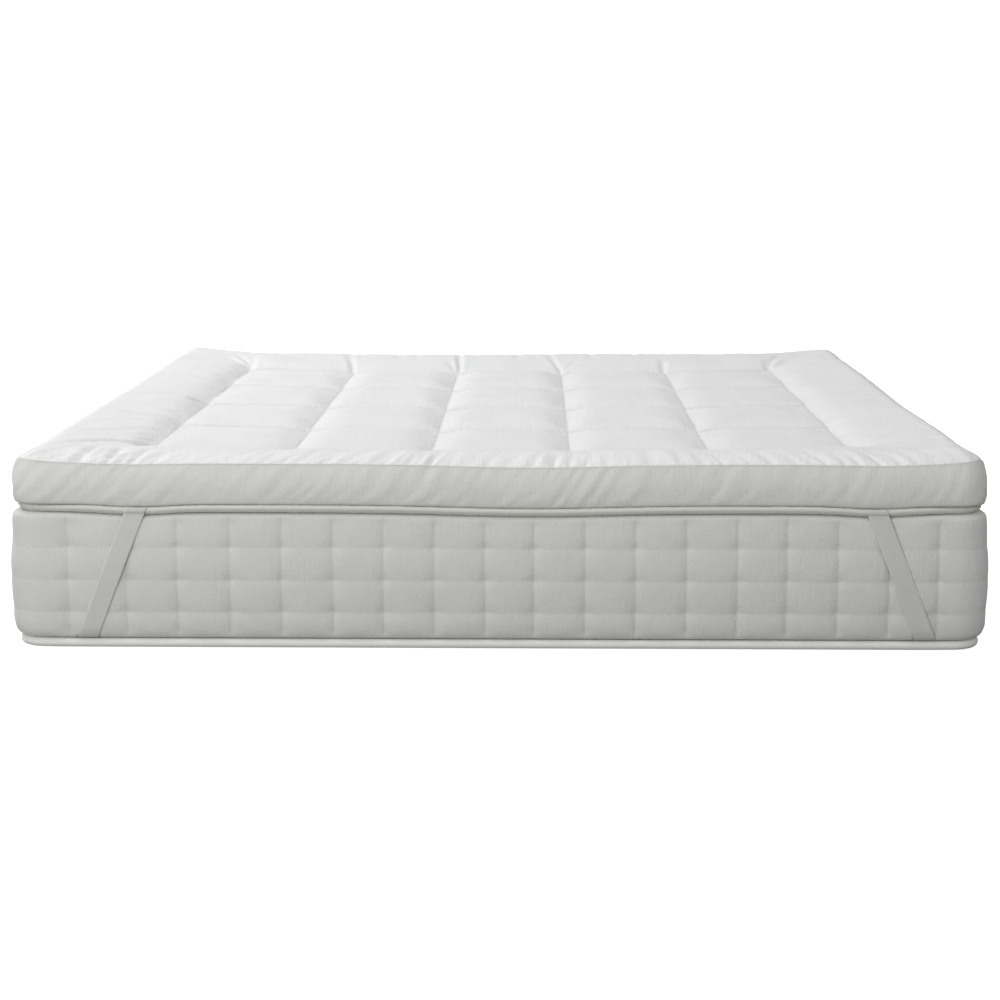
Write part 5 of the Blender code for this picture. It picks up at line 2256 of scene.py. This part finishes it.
@dataclass(frozen=True)
class Studio:
    """A plain pale floor, soft light and the camera."""

    lens: float = 74.60
    sensor: float = 36.0
    camera_place: tuple[float, float, float] = (0.0687, -4.7379, 0.9360)
    pitch: float = 0.17343
    yaw: float = 0.01707
    sky: float = 0.547
    backdrop: float = 1.05
    floor_tone: tuple[float, float, float] = (0.90, 0.90, 0.90)
    floor_half: float = 60.0
    floor_glow: float = 0.80
    floor_bounce: tuple[float, float, float] = (0.27, 0.27, 0.265)
    aim: tuple[float, float, float] = (0.0, 0.0, 0.25)
    lamp_size: float = 2.2
    lamps: tuple[Lamp, ...] = (
        Lamp("key", (-3.2, 1.6, 3.0), 88.0, (0.99, 0.995, 1.0)),
        Lamp("fill", (-1.6, -5.0, 1.0), 62.0, (0.97, 0.985, 1.0)),
        Lamp("top", (-2.0, -2.0, 4.0), 33.0, (1.0, 1.0, 1.0)),
    )

    def camera(self) -> None:
        """Sets the camera where the photograph was taken from."""
        data = bpy.data.cameras.new("camera")
        data.lens = self.lens
        data.sensor_width = self.sensor
        data.clip_end = 200.0
        made = bpy.data.objects.new("camera", data)
        made.location = self.camera_place
        made.rotation_euler = (math.pi / 2 - self.pitch, 0.0, self.yaw)
        bpy.context.scene.collection.objects.link(made)
        bpy.context.scene.camera = made

    def floor(self) -> None:
        """Lays the floor, which glows a little so that it stays pale."""
        mesh = bpy.data.meshes.new("studio_floor")
        half = self.floor_half
        corners = [(-half, -half, 0), (half, -half, 0), (half, half, 0), (-half, half, 0)]
        mesh.from_pydata(corners, [], [(0, 1, 2, 3)])
        material = bpy.data.materials.new("studio_floor")
        material.use_nodes = True
        graph = Graph(material.node_tree)
        shader = material.node_tree.nodes["Principled BSDF"]
        graph.fill(shader, {
            "Base Color": opaque(self.floor_tone), "Roughness": 1.0, "Specular IOR Level": 0.0})
        glow = graph.add("ShaderNodeEmission", {"Strength": self.floor_glow})
        seen = graph.add("ShaderNodeAddShader", {0: shader.outputs[0], 1: glow.outputs[0]})
        dull = graph.add("ShaderNodeBsdfDiffuse", {"Color": opaque(self.floor_bounce)})
        path = graph.add("ShaderNodeLightPath")
        mix = graph.add("ShaderNodeMixShader", {0: path.outputs["Is Camera Ray"], 1: dull.outputs[0],
                                                2: seen.outputs[0]})
        graph.fill(material.node_tree.nodes["Material Output"], {"Surface": mix.outputs[0]})
        mesh.materials.append(material)
        made = bpy.data.objects.new("studio_floor", mesh)
        made.location.z = -0.0005
        bpy.context.scene.collection.objects.link(made)

    def hang(self, lamp: Lamp) -> None:
        """Hangs one soft lamp, aimed at the bed."""
        data = bpy.data.lights.new(lamp.name, "AREA")
        data.shape = "DISK"
        data.size = self.lamp_size
        data.energy = lamp.power
        data.color = lamp.colour
        made = bpy.data.objects.new(lamp.name, data)
        made.location = lamp.place
        made.rotation_euler = (Vector(self.aim) - Vector(lamp.place)).to_track_quat("-Z", "Y").to_euler()
        bpy.context.scene.collection.objects.link(made)

    def light(self) -> None:
        """Lights the scene with its lamps and a pale sky."""
        for lamp in self.lamps:
            self.hang(lamp)
        world = bpy.data.worlds.new("studio")
        world.use_nodes = True
        graph = Graph(world.node_tree)
        path = graph.add("ShaderNodeLightPath")
        seen = path.outputs["Is Camera Ray"]
        strength = graph.math("MULTIPLY_ADD", seen, self.backdrop - self.sky, self.sky)
        graph.fill(world.node_tree.nodes["Background"], {"Color": (1.0, 1.0, 1.0, 1.0), "Strength": strength})
        bpy.context.scene.world = world
        bpy.context.scene.view_settings.view_transform = "Standard"

    def dress(self) -> None:
        """Sets up the whole studio."""
        self.camera()
        self.floor()
        self.light()


def main() -> None:
    """Builds every piece in order, then the studio."""
    logging.basicConfig(level=logging.INFO, format="%(name)s: %(message)s")
    bed = Bed()
    pad = TopperPad(bed, TOPPER_COTTON)
    pad.dress()
    RolledEdge(bed, EDGE_COTTON_PAINTED_SHADE).dress()
    elastic = KNITTED_ELASTIC.material()
    straps = tuple(ElasticStrap(bed, place, elastic) for place in STRAP_PLACES)
    Mattress(bed, FELTED_TICK, straps).dress()
    for strap in straps:
        strap.dress()
    MattressPiping(bed, PIPING_TAPE).dress()
    Stitching(pad, SEWING_THREAD).dress()
    Studio().dress()


if __name__ == "__main__":
    main()
